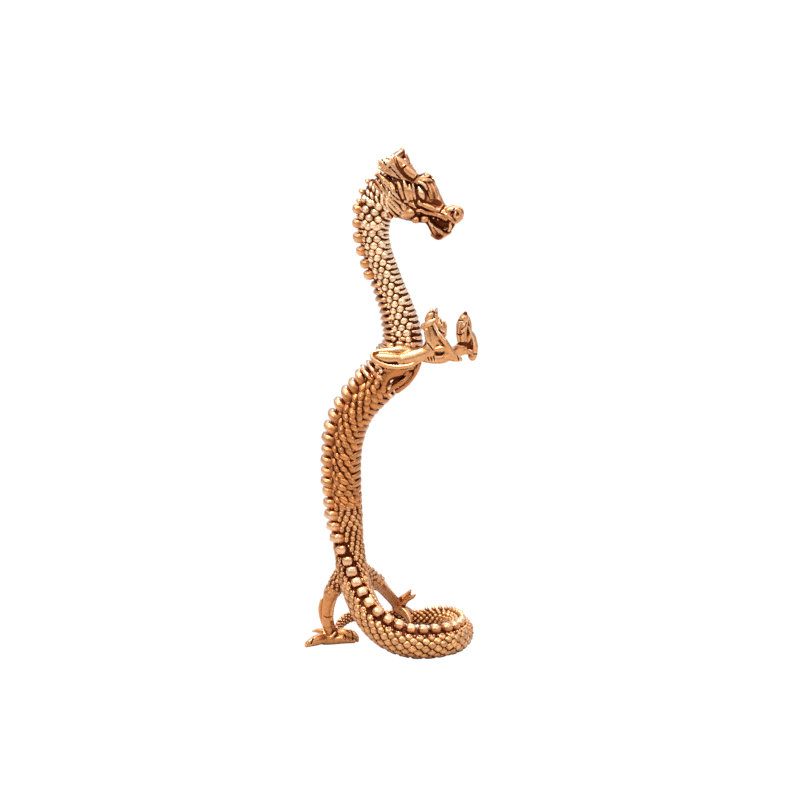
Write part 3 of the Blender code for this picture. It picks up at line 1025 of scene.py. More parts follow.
@dataclass(frozen=True)
class ScaleZone:
    """A stretch of the body with one kind of scale.

    Attributes:
        start: The place of BODY_LINE where it starts.
        end: The place where it ends.
        pitch: Distance between two rows where the body is full.
        column: Distance between two columns of a row there.
        growth: How much wider the scales are at the belly than at the ridge.
        overlap: A scale's length over the distance between every other row.
        fill: Its width over the distance between two columns.
        height: Its height where the body is full.
        lean: How far its back end points to the belly, in radians.
        full: The half depth at which the body is full.
        turn: The most that a scale is turned, in radians.
        spread: The most that its size differs, as a share.
        draw: The number that fixes the random draws.
        finish: Its finish.
    """

    name: str
    start: float
    end: float
    form: ScaleForm
    pitch: float
    column: float
    growth: float = 1.0
    overlap: float = 1.0
    fill: float = 1.0
    height: float = 2.4
    lean: float = 0.0
    full: float = 12.0
    turn: float = 0.08
    spread: float = 0.05
    draw: int = 3
    finish: Metal = Metal.SCALES

    def size_at(self, depth: float) -> float:
        """The share of its full size that a scale has where the body is so deep."""
        return min(1.0, 0.25 + 0.75 * depth / self.full)

    def rows(self, spine: Spine) -> Rows:
        """Lengths along the body at which the rows lie."""
        lengths = [spine.length_at(self.start)]
        stop = spine.length_at(self.end)
        while lengths[-1] < stop:
            depth = np.interp(lengths[-1], spine.lengths, spine.rows[:, 3])
            lengths.append(lengths[-1] + self.pitch * self.size_at(depth))
        return np.array(lengths[:-1])

    def seeds(self, spine: Spine) -> Seeds:
        """Sets out the scales on both flanks, every other row half a column on.

        Args:
            spine: The body's line.

        Returns:
            The places of the scales.
        """
        found = Seeds()
        lengths = self.rows(spine)
        starts, ends = spine.bands(lengths)
        for row, length in enumerate(lengths):
            ring = spine.rings(np.array([length]))
            size = self.size_at(float(ring.depth[0]))
            radius = float(0.5 * (ring.depth[0] + ring.width[0]))
            arc = float(ends[row] - starts[row]) * radius
            count = max(int(round(2.0 * arc / (self.column * size))), 2)
            weights = np.linspace(1.0, self.growth, count)
            stops = np.concatenate([[0.0], np.cumsum(weights)]) / weights.sum()
            for step in range(row % 2, count + 1, 2):
                middle = starts[row] + (ends[row] - starts[row]) * stops[step]
                wide = weights[min(step, count - 1)] / weights.mean() * 2.0 * arc / count
                for sign in (-1.0, 1.0):
                    spot, facing = ring.skin(np.array([sign * middle]), lift=-0.9 * size)
                    round_way = unit(np.cross(facing, ring.along)) * -sign
                    if np.dot(round_way[0], ring.ridge[0]) > 0.0:
                        round_way = -round_way
                    back = ring.along * math.cos(self.lean) + round_way * math.sin(self.lean)
                    extent = (self.pitch * size * self.overlap, 0.5 * wide * self.fill, self.height * size)
                    found.sow(spot, facing, back, np.array(extent))
        return found


@dataclass
class ScaledFlanks:
    """The coats of scales on the neck, the trunk and the tail."""

    zones: tuple[ScaleZone, ...] = (
        ScaleZone(
            "nape_scales", 0.2, 1.9, ScaleForm("nape_scale", squareness=2.2, crown=2.6),
            pitch=4.6, column=6.0, fill=0.8, height=2.8, lean=0.9,
        ),
        ScaleZone(
            "jaw_beads", 1.9, 3.5, ScaleForm("large_bead", sides=12, crown=2.6),
            pitch=6.6, column=9.4, overlap=0.68, fill=0.98, height=3.2, spread=0.10,
        ),
        ScaleZone(
            "neck_beads", 3.5, 13.3, ScaleForm("bead", squareness=2.2, crown=3.4),
            pitch=6.3, column=7.9, growth=1.3, overlap=0.64, fill=0.97, height=2.3, turn=0.5, spread=0.12,
        ),
        ScaleZone(
            "trunk_scales", 13.3, 21.6, ScaleForm("shield", squareness=2.1, point=0.2, rake=0.4, crown=3.0),
            pitch=6.4, column=8.6, overlap=0.92, fill=0.86, height=2.5, lean=0.8, turn=0.42, spread=0.18,
            # Painted shade: the trunk's scales take the darker copy of the copper.
            finish=Metal.WARM,
        ),
        ScaleZone(
            "loin_scales", 21.6, 26.6, ScaleForm("oval", squareness=1.9, point=0.12, rake=0.25, crown=2.8),
            pitch=5.4, column=7.0, overlap=0.76, fill=0.90, height=2.3, turn=0.22, spread=0.12,
            finish=Metal.TAIL,
        ),
        ScaleZone(
            "tail_scales", 26.6, 34.6,
            ScaleForm("lozenge", sides=12, squareness=1.35, rake=0.12, crown=4.4, least=0.14),
            pitch=5.2, column=9.0, overlap=0.98, fill=0.98, height=1.9, turn=0.05, spread=0.04,
            finish=Metal.TAIL,
        ),
        ScaleZone(
            "coil_scales", 34.6, 45.6, ScaleForm("stud", squareness=1.7, rake=0.3, crown=1.9),
            pitch=5.0, column=8.2, overlap=0.78, fill=0.78, height=3.0, turn=0.2, spread=0.12,
            finish=Metal.TAIL,
        ),
    )

    def build(self, shop: Workshop, coat: Coat) -> None:
        """Lays each zone's coat."""
        for zone in self.zones:
            finish = shop.finishes[zone.finish]
            seeds = zone.seeds(shop.spine)
            mesh = coat.lay(shop, zone.form, seeds, finish, zone.turn, zone.spread, zone.draw)
            shop.add(zone.name, mesh, finish)


@dataclass(frozen=True)
class PlateRun:
    """A run of plates along the ridge or the belly.

    Attributes:
        start: The place of BODY_LINE where it starts.
        end: The place where it ends.
        count: How many plates it has.
        thick: A plate's half thickness along the body, as a share of their spacing.
        wide: Its half width over the body's half width, or its reach if it wraps the body.
        high: How far it stands out, if it doesn't wrap the body.
        tilt: How far its top tilts to the tail, in radians.
        root: How deep it reaches into the body.
    """

    start: float
    end: float
    count: int
    form: PlateForm | PebbleForm
    thick: float = 0.42
    wide: float = 0.4
    high: float = 8.0
    tilt: float = 0.0
    root: float = 4.0

    def lengths(self, spine: Spine) -> Rows:
        """Lengths along the body at which the plates stand."""
        return np.linspace(spine.length_at(self.start), spine.length_at(self.end), self.count)

    def wrapped(self, spine: Spine, towards_belly: bool) -> Seeds:
        """Places for plates that wrap the body.

        Args:
            spine: The body's line.
            towards_belly: Whether they wrap the belly and not the ridge.

        Returns:
            The places.
        """
        lengths = self.lengths(spine)
        rings = spine.rings(lengths)
        pitch = float(np.diff(lengths).mean())
        outward = -rings.ridge if towards_belly else rings.ridge
        thick = np.full(len(lengths), pitch * self.thick)
        extent = np.stack([thick, rings.width, rings.depth], axis=1)
        found = Seeds()
        found.sow(rings.spot, outward, rings.along, extent)
        return found

    def upright(self, spine: Spine) -> Seeds:
        """Places for teeth, plates or knobs that stand on the ridge."""
        lengths = self.lengths(spine)
        rings = spine.rings(lengths)
        pitch = float(np.diff(lengths).mean())
        spots, facing = rings.skin(np.zeros(len(lengths)))
        share = np.clip(rings.depth / FULL_DEPTH, 0.3, 1.0)
        outward = unit(facing * math.cos(self.tilt) + rings.along * math.sin(self.tilt))
        half = 0.5 * (self.high + self.root) * share
        middle = spots + outward * (self.high * share - half)[:, None]
        thick = np.full(len(lengths), pitch * self.thick)
        extent = np.stack([thick, rings.width * self.wide, half], axis=1)
        found = Seeds()
        found.sow(middle, outward, rings.along, extent)
        return found


@dataclass
class BackAndBelly:
    """The teeth, plates and knobs of the ridge, and the plates of the belly."""

    bars: tuple[PlateRun, ...] = (
        PlateRun(6.75, 13.7, 17, PlateForm("back_bar", 56, stand=0.32, keel=0.14), 0.36),
        PlateRun(2.5, 5.4, 13, PlateForm("nape_bar", 40, stand=0.10, keel=0.12), 0.36),
    )
    uprights: tuple[PlateRun, ...] = (
        PlateRun(0.5, 2.15, 4, PebbleForm("nape_knob", 0.8, lean=0.1), 0.36, 0.30, 4.8),
        PlateRun(2.62, 6.22, 6, PebbleForm("nape_tooth", 0.7, lean=-0.08), 0.43, 0.46, 8.2, root=8.0),
        PlateRun(14.2, 20.2, 11, PebbleForm("back_plate", 0.5, tip=0.34), 0.50, 0.70, 9.2, -0.34, root=9.5),
        PlateRun(20.7, 23.4, 5, PebbleForm("loin_plate", 0.5, tip=0.3), 0.47, 0.54, 7.8, -0.25, root=8.5),
        PlateRun(24.1, 35.0, 16, PebbleForm("knob", 0.62, tip=0.1), 0.38, 0.37, 6.4),
        PlateRun(35.5, 38.9, 11, PebbleForm("tail_spike", 0.8, lean=0.5, tip=0.75), 0.36, 0.28, 7),
        PlateRun(39.2, 45.2, 18, PebbleForm("tip_spike", 0.8, lean=0.5, tip=0.6), 0.38, 0.36, 3.8),
    )
    throat: tuple[PlateRun, ...] = (
        PlateRun(2.6, 13.6, 34, PlateForm("neck_plate", 62, stand=0.10, sag=1.5), 0.37),
    )
    belly: tuple[PlateRun, ...] = (
        PlateRun(13.9, 21.2, 17, PlateForm("trunk_plate", 68, stand=0.10, sag=-0.7), 0.44),
        PlateRun(21.5, 27.0, 14, PlateForm("loin_belly_plate", 42, stand=0.09, sag=-0.6), 0.43),
        PlateRun(27.4, 45.6, 66, PlateForm("tail_plate", 44, stand=0.08), 0.42),
    )

    def _rope(self, spine: Spine) -> Seeds:
        """Places for the small beads that run like a rope along both sides of the knobs."""
        found = Seeds()
        lengths = np.arange(spine.length_at(23.9), spine.length_at(34.4), 4.4)
        rings = spine.rings(lengths)
        edge = spine.bands(lengths)[0] - math.radians(4.0)
        extent = np.tile(np.array([1.9, 1.5, 2.6]), (len(lengths), 1))
        for sign in (-1.0, 1.0):
            spots, facing = rings.skin(sign * edge, lift=0.2)
            found.sow(spots, facing, rings.along, extent)
        return found

    def build(self, shop: Workshop, coat: Coat) -> None:
        """Stands the ridge and lays the belly."""
        finish = shop.finishes[Metal.PLATES]
        ridge = []
        for run in self.bars:
            ridge.append(coat.lay(shop, run.form, run.wrapped(shop.spine, False), finish, 0.03, 0.03))
        for run in self.uprights:
            ridge.append(coat.lay(shop, run.form, run.upright(shop.spine), finish, 0.08, 0.07))
        ridge.append(coat.lay(shop, ScaleForm("rope_bead", sides=8), self._rope(shop.spine), finish, 0.2))
        shop.add("back_ridge", merged(ridge), finish)
        # The belly plates take the darker copy of the copper, as painted shade.
        under = (("throat_plates", self.throat, Metal.SCALES), ("belly_plates", self.belly, Metal.WARM))
        for name, runs, metal in under:
            finish = shop.finishes[metal]
            laid = []
            for run in runs:
                laid.append(coat.lay(shop, run.form, run.wrapped(shop.spine, True), finish, 0.02, 0.01))
            shop.add(name, merged(laid), finish)


@dataclass
class Clay:
    """A block of modelling clay: a box of cells that each hold the distance to the surface.

    Attributes:
        low: The box's lowest corner.
        high: Its highest corner.
        cell: The side of a cell.
    """

    low: Point
    high: Point
    cell: float = 0.6
    distance: Rows = field(init=False)
    lines: list[Rows] = field(init=False)
    # Lines of darkened metal, painted shade and the patina under a thigh's scales, each point with its
    # radius.
    shade_and_patina_lines: list[Rows] = field(default_factory=list)
    # Lines of painted highlight, each point with its radius.
    gleams: list[Rows] = field(default_factory=list)

    def __post_init__(self) -> None:
        """Sets out the cells, all of them empty."""
        self.lines = [
            np.arange(low, high + self.cell, self.cell, dtype=np.float32)
            for low, high in zip(self.low, self.high)
        ]
        self.distance = np.full([len(line) for line in self.lines], FAR_OFF, np.float32)

    def _window(self, low: Rows, high: Rows) -> tuple[tuple[slice, ...], list[Rows]]:
        """The cells between two corners, and their coordinates."""
        cuts = []
        places = []
        for axis, line in enumerate(self.lines):
            start = int(np.searchsorted(line, low[axis]))
            stop = int(np.searchsorted(line, high[axis])) + 1
            cuts.append(slice(start, stop))
            shape = [1, 1, 1]
            shape[axis] = -1
            places.append(line[start:stop].reshape(shape))
        return tuple(cuts), places

    def _press(self, cuts: tuple[slice, ...], near: Rows, blend: float) -> None:
        """Adds a form, with a fillet where it meets what is there."""
        here = self.distance[cuts]
        fillet = np.maximum(blend - np.abs(here - near), 0.0)
        self.distance[cuts] = np.minimum(here, near) - fillet**2 / (4.0 * blend)

    def _cut(self, cuts: tuple[slice, ...], near: Rows, blend: float) -> None:
        """Takes a form away, with a rounded edge."""
        here = self.distance[cuts]
        fillet = np.maximum(blend - np.abs(here + near), 0.0)
        self.distance[cuts] = np.maximum(here, -near) + fillet**2 / (4.0 * blend)

    def _rod_distance(
        self, points: Rows, margin: float, flat: Point | None
    ) -> tuple[tuple[slice, ...], Rows]:
        """The distance to a rod, in the cells round it."""
        reach = points[:, 3].max() + margin
        cuts, (x, y, z) = self._window(points[:, :3].min(0) - reach, points[:, :3].max(0) + reach)
        nearest = np.full((x.size, y.size, z.size), FAR_OFF, np.float32)
        middle = points[:, :3].astype(np.float32)
        stretch = 1.0
        if flat is not None:
            way = np.array(flat[:3], np.float32) / np.linalg.norm(flat[:3])
            stretch = 1.0 / flat[3]
            along = (x * way[0] + y * way[1] + z * way[2]) * (stretch - 1.0)
            x, y, z = x + along * way[0], y + along * way[1], z + along * way[2]
            middle = middle + (middle @ way)[:, None] * (stretch - 1.0) * way
        for start, end, first, last in zip(middle, middle[1:], points[:, 3], points[1:, 3]):
            run = end - start
            square = max(float(run @ run), 1e-6)
            dx, dy, dz = x - start[0], y - start[1], z - start[2]
            share = np.clip((dx * run[0] + dy * run[1] + dz * run[2]) / square, 0.0, 1.0)
            gap = (dx - share * run[0]) ** 2 + (dy - share * run[1]) ** 2 + (dz - share * run[2]) ** 2
            nearest = np.minimum(nearest, np.sqrt(gap) - (first + share * (last - first)))
        return cuts, nearest * np.float32(0.5 + 0.5 / stretch)

    def rod(
        self,
        points: tuple[Point, ...],
        blend: float = 1.4,
        steps: int = 4,
        flat: Point | None = None,
        carve: bool = False,
    ) -> None:
        """Presses a smooth rod onto the clay, or carves its shape out.

        Args:
            points: Points that it passes through, each with its radius there.
            blend: How wide the fillet is.
            steps: Straight pieces between two points.
            flat: A direction in which the rod is thinner, and its share of the thickness.
            carve: Whether it is carved out.
        """
        rows = fine_rows(points, steps) if len(points) > 2 else np.array(points, float)
        rows[:, 3] = np.maximum(rows[:, 3], THINNEST_ROD)
        cuts, near = self._rod_distance(rows, blend + 2.0 * self.cell, flat)
        if near.size == 0:
            return
        if carve:
            self._cut(cuts, near, blend)
        else:
            self._press(cuts, near, blend)

    def ball(self, middle: Point, radii: Point, blend: float = 1.2) -> None:
        """Presses an oval ball onto the clay."""
        spot = np.array(middle, float)
        size = np.array(radii, float)
        reach = size + blend + 2.0 * self.cell
        cuts, (x, y, z) = self._window(spot - reach, spot + reach)
        gap = np.sqrt(
            ((x - spot[0]) / size[0]) ** 2 + ((y - spot[1]) / size[1]) ** 2 + ((z - spot[2]) / size[2]) ** 2
        )
        self._press(cuts, ((gap - 1.0) * size.min()).astype(np.float32), blend)

    def core(self, sections: tuple[Point, ...], blend: float = 2.0) -> None:
        """Presses a core of upright oval sections onto the clay.

        Args:
            sections: For each section its place on X, its top, its bottom and its half width.
            blend: How wide the fillet is.
        """
        rows = np.array(sections, float)
        fine = smooth_rows(rows, np.linspace(0, len(rows) - 1, 8 * len(rows)))
        shapes = ((-1, 1, 1), (1, -1, 1), (1, 1, -1))
        x, y, z = (line.reshape(shape) for line, shape in zip(self.lines, shapes))
        top, bottom, wide = (np.interp(x, fine[:, 0], fine[:, part]) for part in (1, 2, 3))
        middle, high = 0.5 * (top + bottom), 0.5 * (top - bottom)
        across = np.sqrt((y / wide) ** 2 + ((z - middle) / high) ** 2)
        near = (across - 1.0) * np.minimum(wide, high)
        past = np.maximum(fine[0, 0] - x, x - fine[-1, 0])
        near = np.maximum(near, past).astype(np.float32)
        self._press((slice(None), slice(None), slice(None)), near, blend)

    def read(self, points: Rows) -> Rows:
        """The distance to the surface at some points, between the cells too."""
        shape = np.array(self.distance.shape)
        place = (np.asarray(points, float) - np.array([line[0] for line in self.lines])) / self.cell
        place = np.clip(place, 0.0, shape - 1.001)
        low = place.astype(int)
        share = place - low
        total = np.zeros(len(place))
        for corner in range(8):
            step = np.array([corner & 1, (corner >> 1) & 1, (corner >> 2) & 1])
            weight = np.prod(np.where(step == 1, share, 1.0 - share), axis=1)
            spot = low + step
            total += weight * self.distance[spot[:, 0], spot[:, 1], spot[:, 2]]
        return total

    def facing(self, points: Rows) -> Rows:
        """The way that the clay faces at some points of its surface."""
        slopes = []
        for axis in range(3):
            step = np.zeros(3)
            step[axis] = self.cell
            slopes.append(self.read(points + step) - self.read(points - step))
        return unit(np.stack(slopes, axis=1))

    def darken(self, points: tuple[Point, ...]) -> None:
        """Darkens the metal round a line of points, out to each one's radius: painted shade, and under a
        thigh's scales its patina.
        """
        self.shade_and_patina_lines.append(fine_rows(points, 6))

    def gleam(self, points: tuple[Point, ...]) -> None:
        """Paints a highlight round a line of points, as far as each one's radius, by raising the relief so
        the metal takes its bright crown colour.
        """
        self.gleams.append(fine_rows(points, 6))

    def score(self, line: tuple[Point, ...], towards: Point, width: float, depth: float) -> None:
        """Scores a groove into the surface, along a line that is laid onto it.

        Args:
            line: Points outside the clay.
            towards: The way in which they are moved until they meet the clay.
            width: The groove's half width.
            depth: Its depth.
        """
        way = np.array(towards, float) / np.linalg.norm(towards)
        steps = np.arange(0.0, SCORE_REACH, 0.5 * self.cell)
        trail = []
        for start in fine_rows(line, 5):
            met = np.flatnonzero(self.read(start + steps[:, None] * way) < 0.0)
            if len(met):
                trail.append((*(start + way * (steps[met[0]] + depth - width)), width))
        if len(trail) > 1:
            self.rod(tuple(trail), blend=0.5, steps=1, carve=True)

    def _crossings(self, axis: int) -> tuple[Rows, Rows, Rows]:
        """The cell edges along an axis that the surface crosses, where, and which way it faces."""
        count = self.distance.shape[axis]
        start = np.take(self.distance, np.arange(count - 1), axis)
        end = np.take(self.distance, np.arange(1, count), axis)
        edges = np.argwhere((start < 0.0) != (end < 0.0))
        first = start[tuple(edges.T)]
        last = end[tuple(edges.T)]
        spots = edges.astype(float)
        spots[:, axis] += first / (first - last)
        return edges, spots, first < 0.0

    def cast(self) -> CastMesh:
        """Casts the surface of the clay as a mesh, one corner in each cell that it crosses.

        Returns:
            The mesh, with its relief.
        """
        shape = np.array(self.distance.shape)
        strides = np.array([shape[1] * shape[2], shape[2], 1])
        cells: list[Rows] = []
        spots: list[Rows] = []
        quads: list[Rows] = []
        for axis in range(3):
            edges, crossed, outwards = self._crossings(axis)
            first, second = (axis + 1) % 3, (axis + 2) % 3
            ring = []
            for back in ((1, 1), (0, 1), (0, 0), (1, 0)):
                step = np.zeros(3, int)
                step[first], step[second] = back
                ring.append((edges - step) @ strides)
                cells.append(ring[-1])
                spots.append(crossed)
            face = np.stack(ring, axis=1)
            quads.append(np.where(outwards[:, None], face, face[:, ::-1]))
        numbers, owner = np.unique(np.concatenate(cells), return_inverse=True)
        every = np.concatenate(spots)
        weight = np.bincount(owner)
        corners = np.stack([np.bincount(owner, every[:, axis]) for axis in range(3)], axis=1)
        origin = np.array([line[0] for line in self.lines])
        corners = origin + corners / weight[:, None] * self.cell
        faces = np.searchsorted(numbers, np.concatenate(quads))
        outward = self.facing(corners)
        return CastMesh(corners, faces, self._relief(corners, outward))

    def _relief(self, corners: Rows, outward: Rows) -> Rows:
        """How open each corner lies: low in a groove, and high on a crest. Painted shade lowers it round the
        darkened lines, and painted highlights raise it round the gleams.
        """
        openness = np.ones(len(corners))
        for reach, power in ((1.1, 1.0), (2.4, 0.9), (4.5, 0.7)):
            sky = np.clip(self.read(corners + outward * reach) / reach, 0.0, 1.0)
            openness *= sky**power
        crest = 1.0 + np.clip(self.read(corners - outward * 2.0) / 2.0, -1.0, 0.0)
        relief = np.clip(0.78 * openness + 0.35 * crest, 0.0, 1.0)
        # Painted shade, and the patina under a thigh's scales: round each line the relief falls to as little
        # as 0.12 of itself.
        for rows in self.shade_and_patina_lines:
            gaps = np.linalg.norm(corners[:, None] - rows[None, :, :3], axis=2) / rows[None, :, 3]
            relief *= np.clip((gaps.min(axis=1) - 0.8) / 0.3, 0.12, 1.0)
        # Painted highlight: round each gleam the relief is raised to as much as 0.94.
        for rows in self.gleams:
            gaps = np.linalg.norm(corners[:, None] - rows[None, :, :3], axis=2) / rows[None, :, 3]
            relief = np.maximum(relief, np.clip((1.15 - gaps.min(axis=1)) / 0.12, 0.0, 0.94))
        return relief


HEAD_CORE = (
    (-13, 480, 450, 12), (-4.5, 484, 445.6, 14.5), (6.5, 485, 442.8, 15.5), (17, 484, 442.2, 15.3),
    (25.5, 484, 443.6, 13), (33, 482, 445, 10), (39, 476.5, 447, 6.8), (43, 470.5, 446, 6),
    (47, 462.5, 444, 6.6), (53, 459.5, 443.5, 6.4), (59, 459, 443.5, 6), (63, 456.5, 445, 4.6),
    (65, 453, 449, 2.4),
)
JAW_CORE = (
    (18, 452, 440.4, 10.5), (24, 452, 441.4, 9.4), (30, 447.5, 440.5, 7.6), (36.5, 437, 429, 6.8),
    (43, 432.5, 425.5, 6.2), (49, 434.5, 429.5, 5), (53, 439, 436, 3),
)

# Forms of one side of the head: fillet, then forward, side, height and radius at each point.
FACE_FORMS = (
    # Brow tufts.
    (0.5, ((17, 11.4, 485, 2.2), (23.6, 10, 487.6, 3), (27, 5.4, 488.6, 2.2), (31.2, 2, 490.4, 0.9))),
    (0.4, ((23, 11.6, 485, 2.2), (28.5, 8, 486.4, 2.4), (31.6, 4.4, 486.8, 2), (34.6, 2.6, 486, 0.9))),
    (0.5, ((22, 7, 486.4, 2.8), (25.8, 4, 489.6, 1.5))),
    # Lids, round the almond of the eye.
    (0.3, ((18.6, 13.6, 483, 1.3), (19.9, 14.4, 476.8, 1.6), (21.6, 14.4, 469.4, 1.4))),
    (0.3, ((24.4, 12.4, 486.2, 1.3), (30, 12, 483.4, 1.6), (32.6, 11.6, 479, 1.1))),
    # Folds over the bridge of the nose.
    (0.4, ((29.8, 6.2, 483.4, 2.4), (33, 6.4, 477, 3.5), (36, 7.2, 469.6, 2.4))),
    (0.4, ((33.6, 2.6, 482, 2), (37, 3, 474.8, 2.8), (39.8, 3.6, 467.8, 2.2))),
    (0.5, ((36.4, 0, 478.6, 1.9), (40.2, 0, 471, 2.3), (43, 0, 465.4, 1.8))),
    # Rolls under the eye and behind the nostril.
    (0.4, ((26.1, 14, 465.4, 3), (27.1, 13.9, 464.6, 3))),
    (0.5, ((30.2, 13.2, 463.1, 2.5), (36, 11.4, 460.7, 2.8), (41.2, 9.2, 457.7, 2))),
    (0.8, ((36, 7.4, 459, 3.6), (44, 6.4, 456.6, 3.2), (52, 5, 455, 3), (58, 3.6, 453.4, 2.8))),
    # Cheek.
    (0.6, ((9.3, 14.4, 460.9, 3.6), (10.1, 14.4, 458.9, 3.7))),
    (1.2, ((9.6, 12.8, 452.2, 5.2), (16.4, 13, 454.2, 5.2))),
    (0.5, ((16.4, 14.2, 463.6, 2.7), (21.6, 13.6, 461.4, 2.7))),
    (0.5, ((8, 14.6, 465.4, 2.5), (13.4, 14.6, 466, 2.2))),
    # Upper lip and the two knots under its back end.
    (0.5, ((23, 13.2, 456.9, 2.2), (27.2, 12.8, 457.7, 2.5), (31.8, 11.4, 455.3, 2.5))),
    (0.5, ((31.8, 11.4, 455.3, 2.5), (38.4, 9.2, 454.5, 2.8), (45.5, 8, 452.3, 2.5), (51.5, 7, 449.4, 2.3))),
    (0.3, ((20.4, 12, 447.2, 3.9), (21.6, 12, 447.1, 3.9))),
    (0.3, ((29.6, 11.2, 448.4, 3.6), (31, 11, 448.7, 3.6))),
    # Nose: the wing, the curl of the nostril and the tip.
    (0.5, ((46.2, 7.4, 455.4, 1.9), (52.4, 7.4, 453, 2.3), (57.6, 6.6, 448.8, 2.3), (59, 5.4, 446, 1.5))),
    (0.4, ((51.4, 6.6, 455.4, 1.8), (52.6, 6, 458, 2), (56.8, 4.8, 458.8, 2.2), (61, 3.4, 458.8, 2.3))),
    (0.4, ((61, 3.4, 458.8, 2.3), (64, 2.4, 456.6, 2.2), (64.6, 2.2, 452.4, 2.2), (62.2, 4.2, 449.6, 2))),
    (0.4, ((62.2, 4.2, 449.6, 2), (59.8, 5.8, 452.4, 1.6), (60.8, 5.6, 456, 1.3))),
    (0.6, ((57, 5, 446.8, 2), (61.4, 3.6, 447.2, 2.1), (64.2, 2, 450, 2.1), (64.4, 0, 453, 2.2))),
    (0.8, ((46.8, 3, 458.8, 2.2), (52.8, 2.4, 458, 2.4), (58.8, 1.4, 457.6, 2.4), (62.6, 0, 455, 2.4))),
    # Upright locks behind the eye.
    (0.35, ((18.1, 14.6, 468.7, 1.8), (16.7, 15.5, 476.5, 2.2), (15.2, 14.8, 483.4, 0.8))),
    (0.35, ((14.3, 14.8, 468.4, 2.5), (12.6, 15.9, 477.8, 3.2), (9.3, 15, 487, 1))),
    (0.35, ((9.8, 14.8, 467.6, 2.7), (7, 16.2, 477.4, 3.3), (3.8, 15.8, 484.8, 1.6))),
    (0.35, ((6.2, 15, 466, 3.2), (0.6, 16.7, 475.2, 4.6), (-3.7, 16.8, 482.6, 2.5))),
    (0.35, ((0.6, 15.4, 471, 3), (-4.4, 16.6, 478, 3.9), (-9.8, 17.5, 485.4, 4.1),
            (-15.3, 17.8, 491.3, 1.8))),
    # Mane, swept back and up.
    (0.35, ((9.6, 14.2, 461.6, 2.3), (1.2, 16.3, 468.6, 3), (-6.6, 17.8, 476, 2.7), (-12.4, 18.6, 482, 0.9))),
    (0.35, ((6.6, 14.2, 455.6, 2.6), (-2.4, 16.6, 466, 3.2), (-10.3, 18.4, 476.6, 3.2),
            (-17.9, 19.4, 485.6, 1.2))),
    (0.35, ((9, 12.8, 449.8, 2.4), (-0.6, 15.5, 458.3, 3.1), (-9.4, 17.9, 469.2, 3.3),
            (-20, 19.4, 481, 1.6))),
    (0.35, ((0.6, 12.4, 449.4, 2.4), (-6, 15.4, 458.6, 3), (-12.1, 17.8, 468.6, 2.7),
            (-18.4, 18.8, 475.6, 0.9))),
    (0.35, ((-5.2, 11.2, 447.5, 2.2), (-10, 14.6, 457.2, 2.6), (-15.2, 17.2, 466.6, 2.2),
            (-20, 18, 472.4, 0.8))),
    (0.3, ((-6, 15, 482, 2.6), (-13, 16, 488, 2.6), (-19, 16.6, 492.4, 0.9))),
    (0.3, ((-9, 10, 484, 3), (-16, 12, 487.4, 2.6), (-22, 13, 489.6, 0.9))),
    # Lower jaw's lip and chin.
    (0.5, ((34, 9.4, 447, 2), (38, 8.6, 442.6, 2.7), (41.6, 7.4, 438.2, 3), (45.2, 6, 435, 3))),
    (0.5, ((45.2, 6, 435, 3), (48.8, 4.4, 433, 2.6), (51.6, 2, 433.6, 2.2), (52.6, 0, 434.4, 2))),
    (0.9, ((35.1, 8.4, 445, 2.2), (38, 7.2, 438.4, 2.5), (39.8, 5.6, 432.4, 2.5))),
    (1.2, ((36.4, 3, 431, 3), (41, 2.6, 428.2, 2.6), (47, 2, 431, 2.4))),
    # Teeth: the knot at the front of the lower jaw, the fang that closes on it, and two small ones.
    (0.2, ((49.8, 6, 439.4, 2.4), (50.3, 6, 440, 2.4))),
    (0.3, ((55.6, 5.6, 445.4, 1.8), (55, 5.2, 440.8, 1.7), (53, 4.4, 436.6, 1.4))),
    (0.2, ((42.8, 7.4, 448, 1.4), (42.8, 7.2, 443.4, 1), (42.6, 7, 441, 0.4))),
    (0.2, ((38.6, 8.4, 449.6, 1.3), (38.4, 8.2, 445, 0.5))),
)

# Grooves of one side of the head: half width, depth, then forward and height of each point.
FACE_GROOVES = (
    (0.9, 1.8, ((48.4, 462.6), (47.4, 459.6), (45.6, 456.4))),
    (0.6, 1.2, ((60, 461.8), (58.8, 459.2))),
    (0.9, 1.6, ((58, 457.4), (56.6, 454.6))),
    (0.8, 1.6, ((26.2, 454.6), (26.4, 450.4), (25.8, 446))),
    (0.7, 1.3, ((20.6, 466.4), (22.8, 461.6), (25.6, 459))),
    (0.6, 1.2, ((12.6, 463.6), (15.2, 461), (19, 459.4))),
    (0.6, 1, ((9, 466.8), (12, 468.6))),
    (0.6, 1, ((-6, 480), (-2.6, 474.5))),
    (0.6, 1, ((1.6, 481), (3.6, 475))),
    (0.5, 0.8, ((44.4, 455.6), (50, 454))),
    (0.5, 0.8, ((39, 440.6), (42, 436), (46, 433))),
    # Gaps between the locks of the mane.
    (0.9, 2, ((12, 463.6), (4, 469), (-3, 476.4), (-9, 483))),
    (1, 2.4, ((9.5, 457.6), (0.4, 466.2), (-7.6, 475.4), (-14.6, 484))),
    (1, 2.4, ((8.4, 452.2), (-1, 462), (-9.8, 473), (-18.6, 483.4))),
    (0.9, 2.2, ((4, 449.6), (-3.2, 458.8), (-10.6, 469), (-19, 478.4))),
    (0.9, 2, ((-2.4, 448.4), (-8, 458), (-13.4, 467.6), (-19, 474.4))),
    (0.8, 1.8, ((12.6, 468), (11, 474), (8.6, 480), (6, 485.4))),
    (0.8, 1.8, ((7.8, 467.6), (4.4, 474), (1.4, 481), (-0.6, 485.4))),
    # The horn: two dark lines and the wide valley in front of them.
    (0.8, 1.7, ((-12.2, 506.6), (-6.9, 502), (-4, 499.4))),
    (0.8, 1.7, ((-3.7, 501.2), (1.6, 494.4), (6, 489.6))),
    (1.8, 1.3, ((0.5, 509.9), (4.2, 500.9), (9.7, 493.4), (15.9, 488.1))),
)

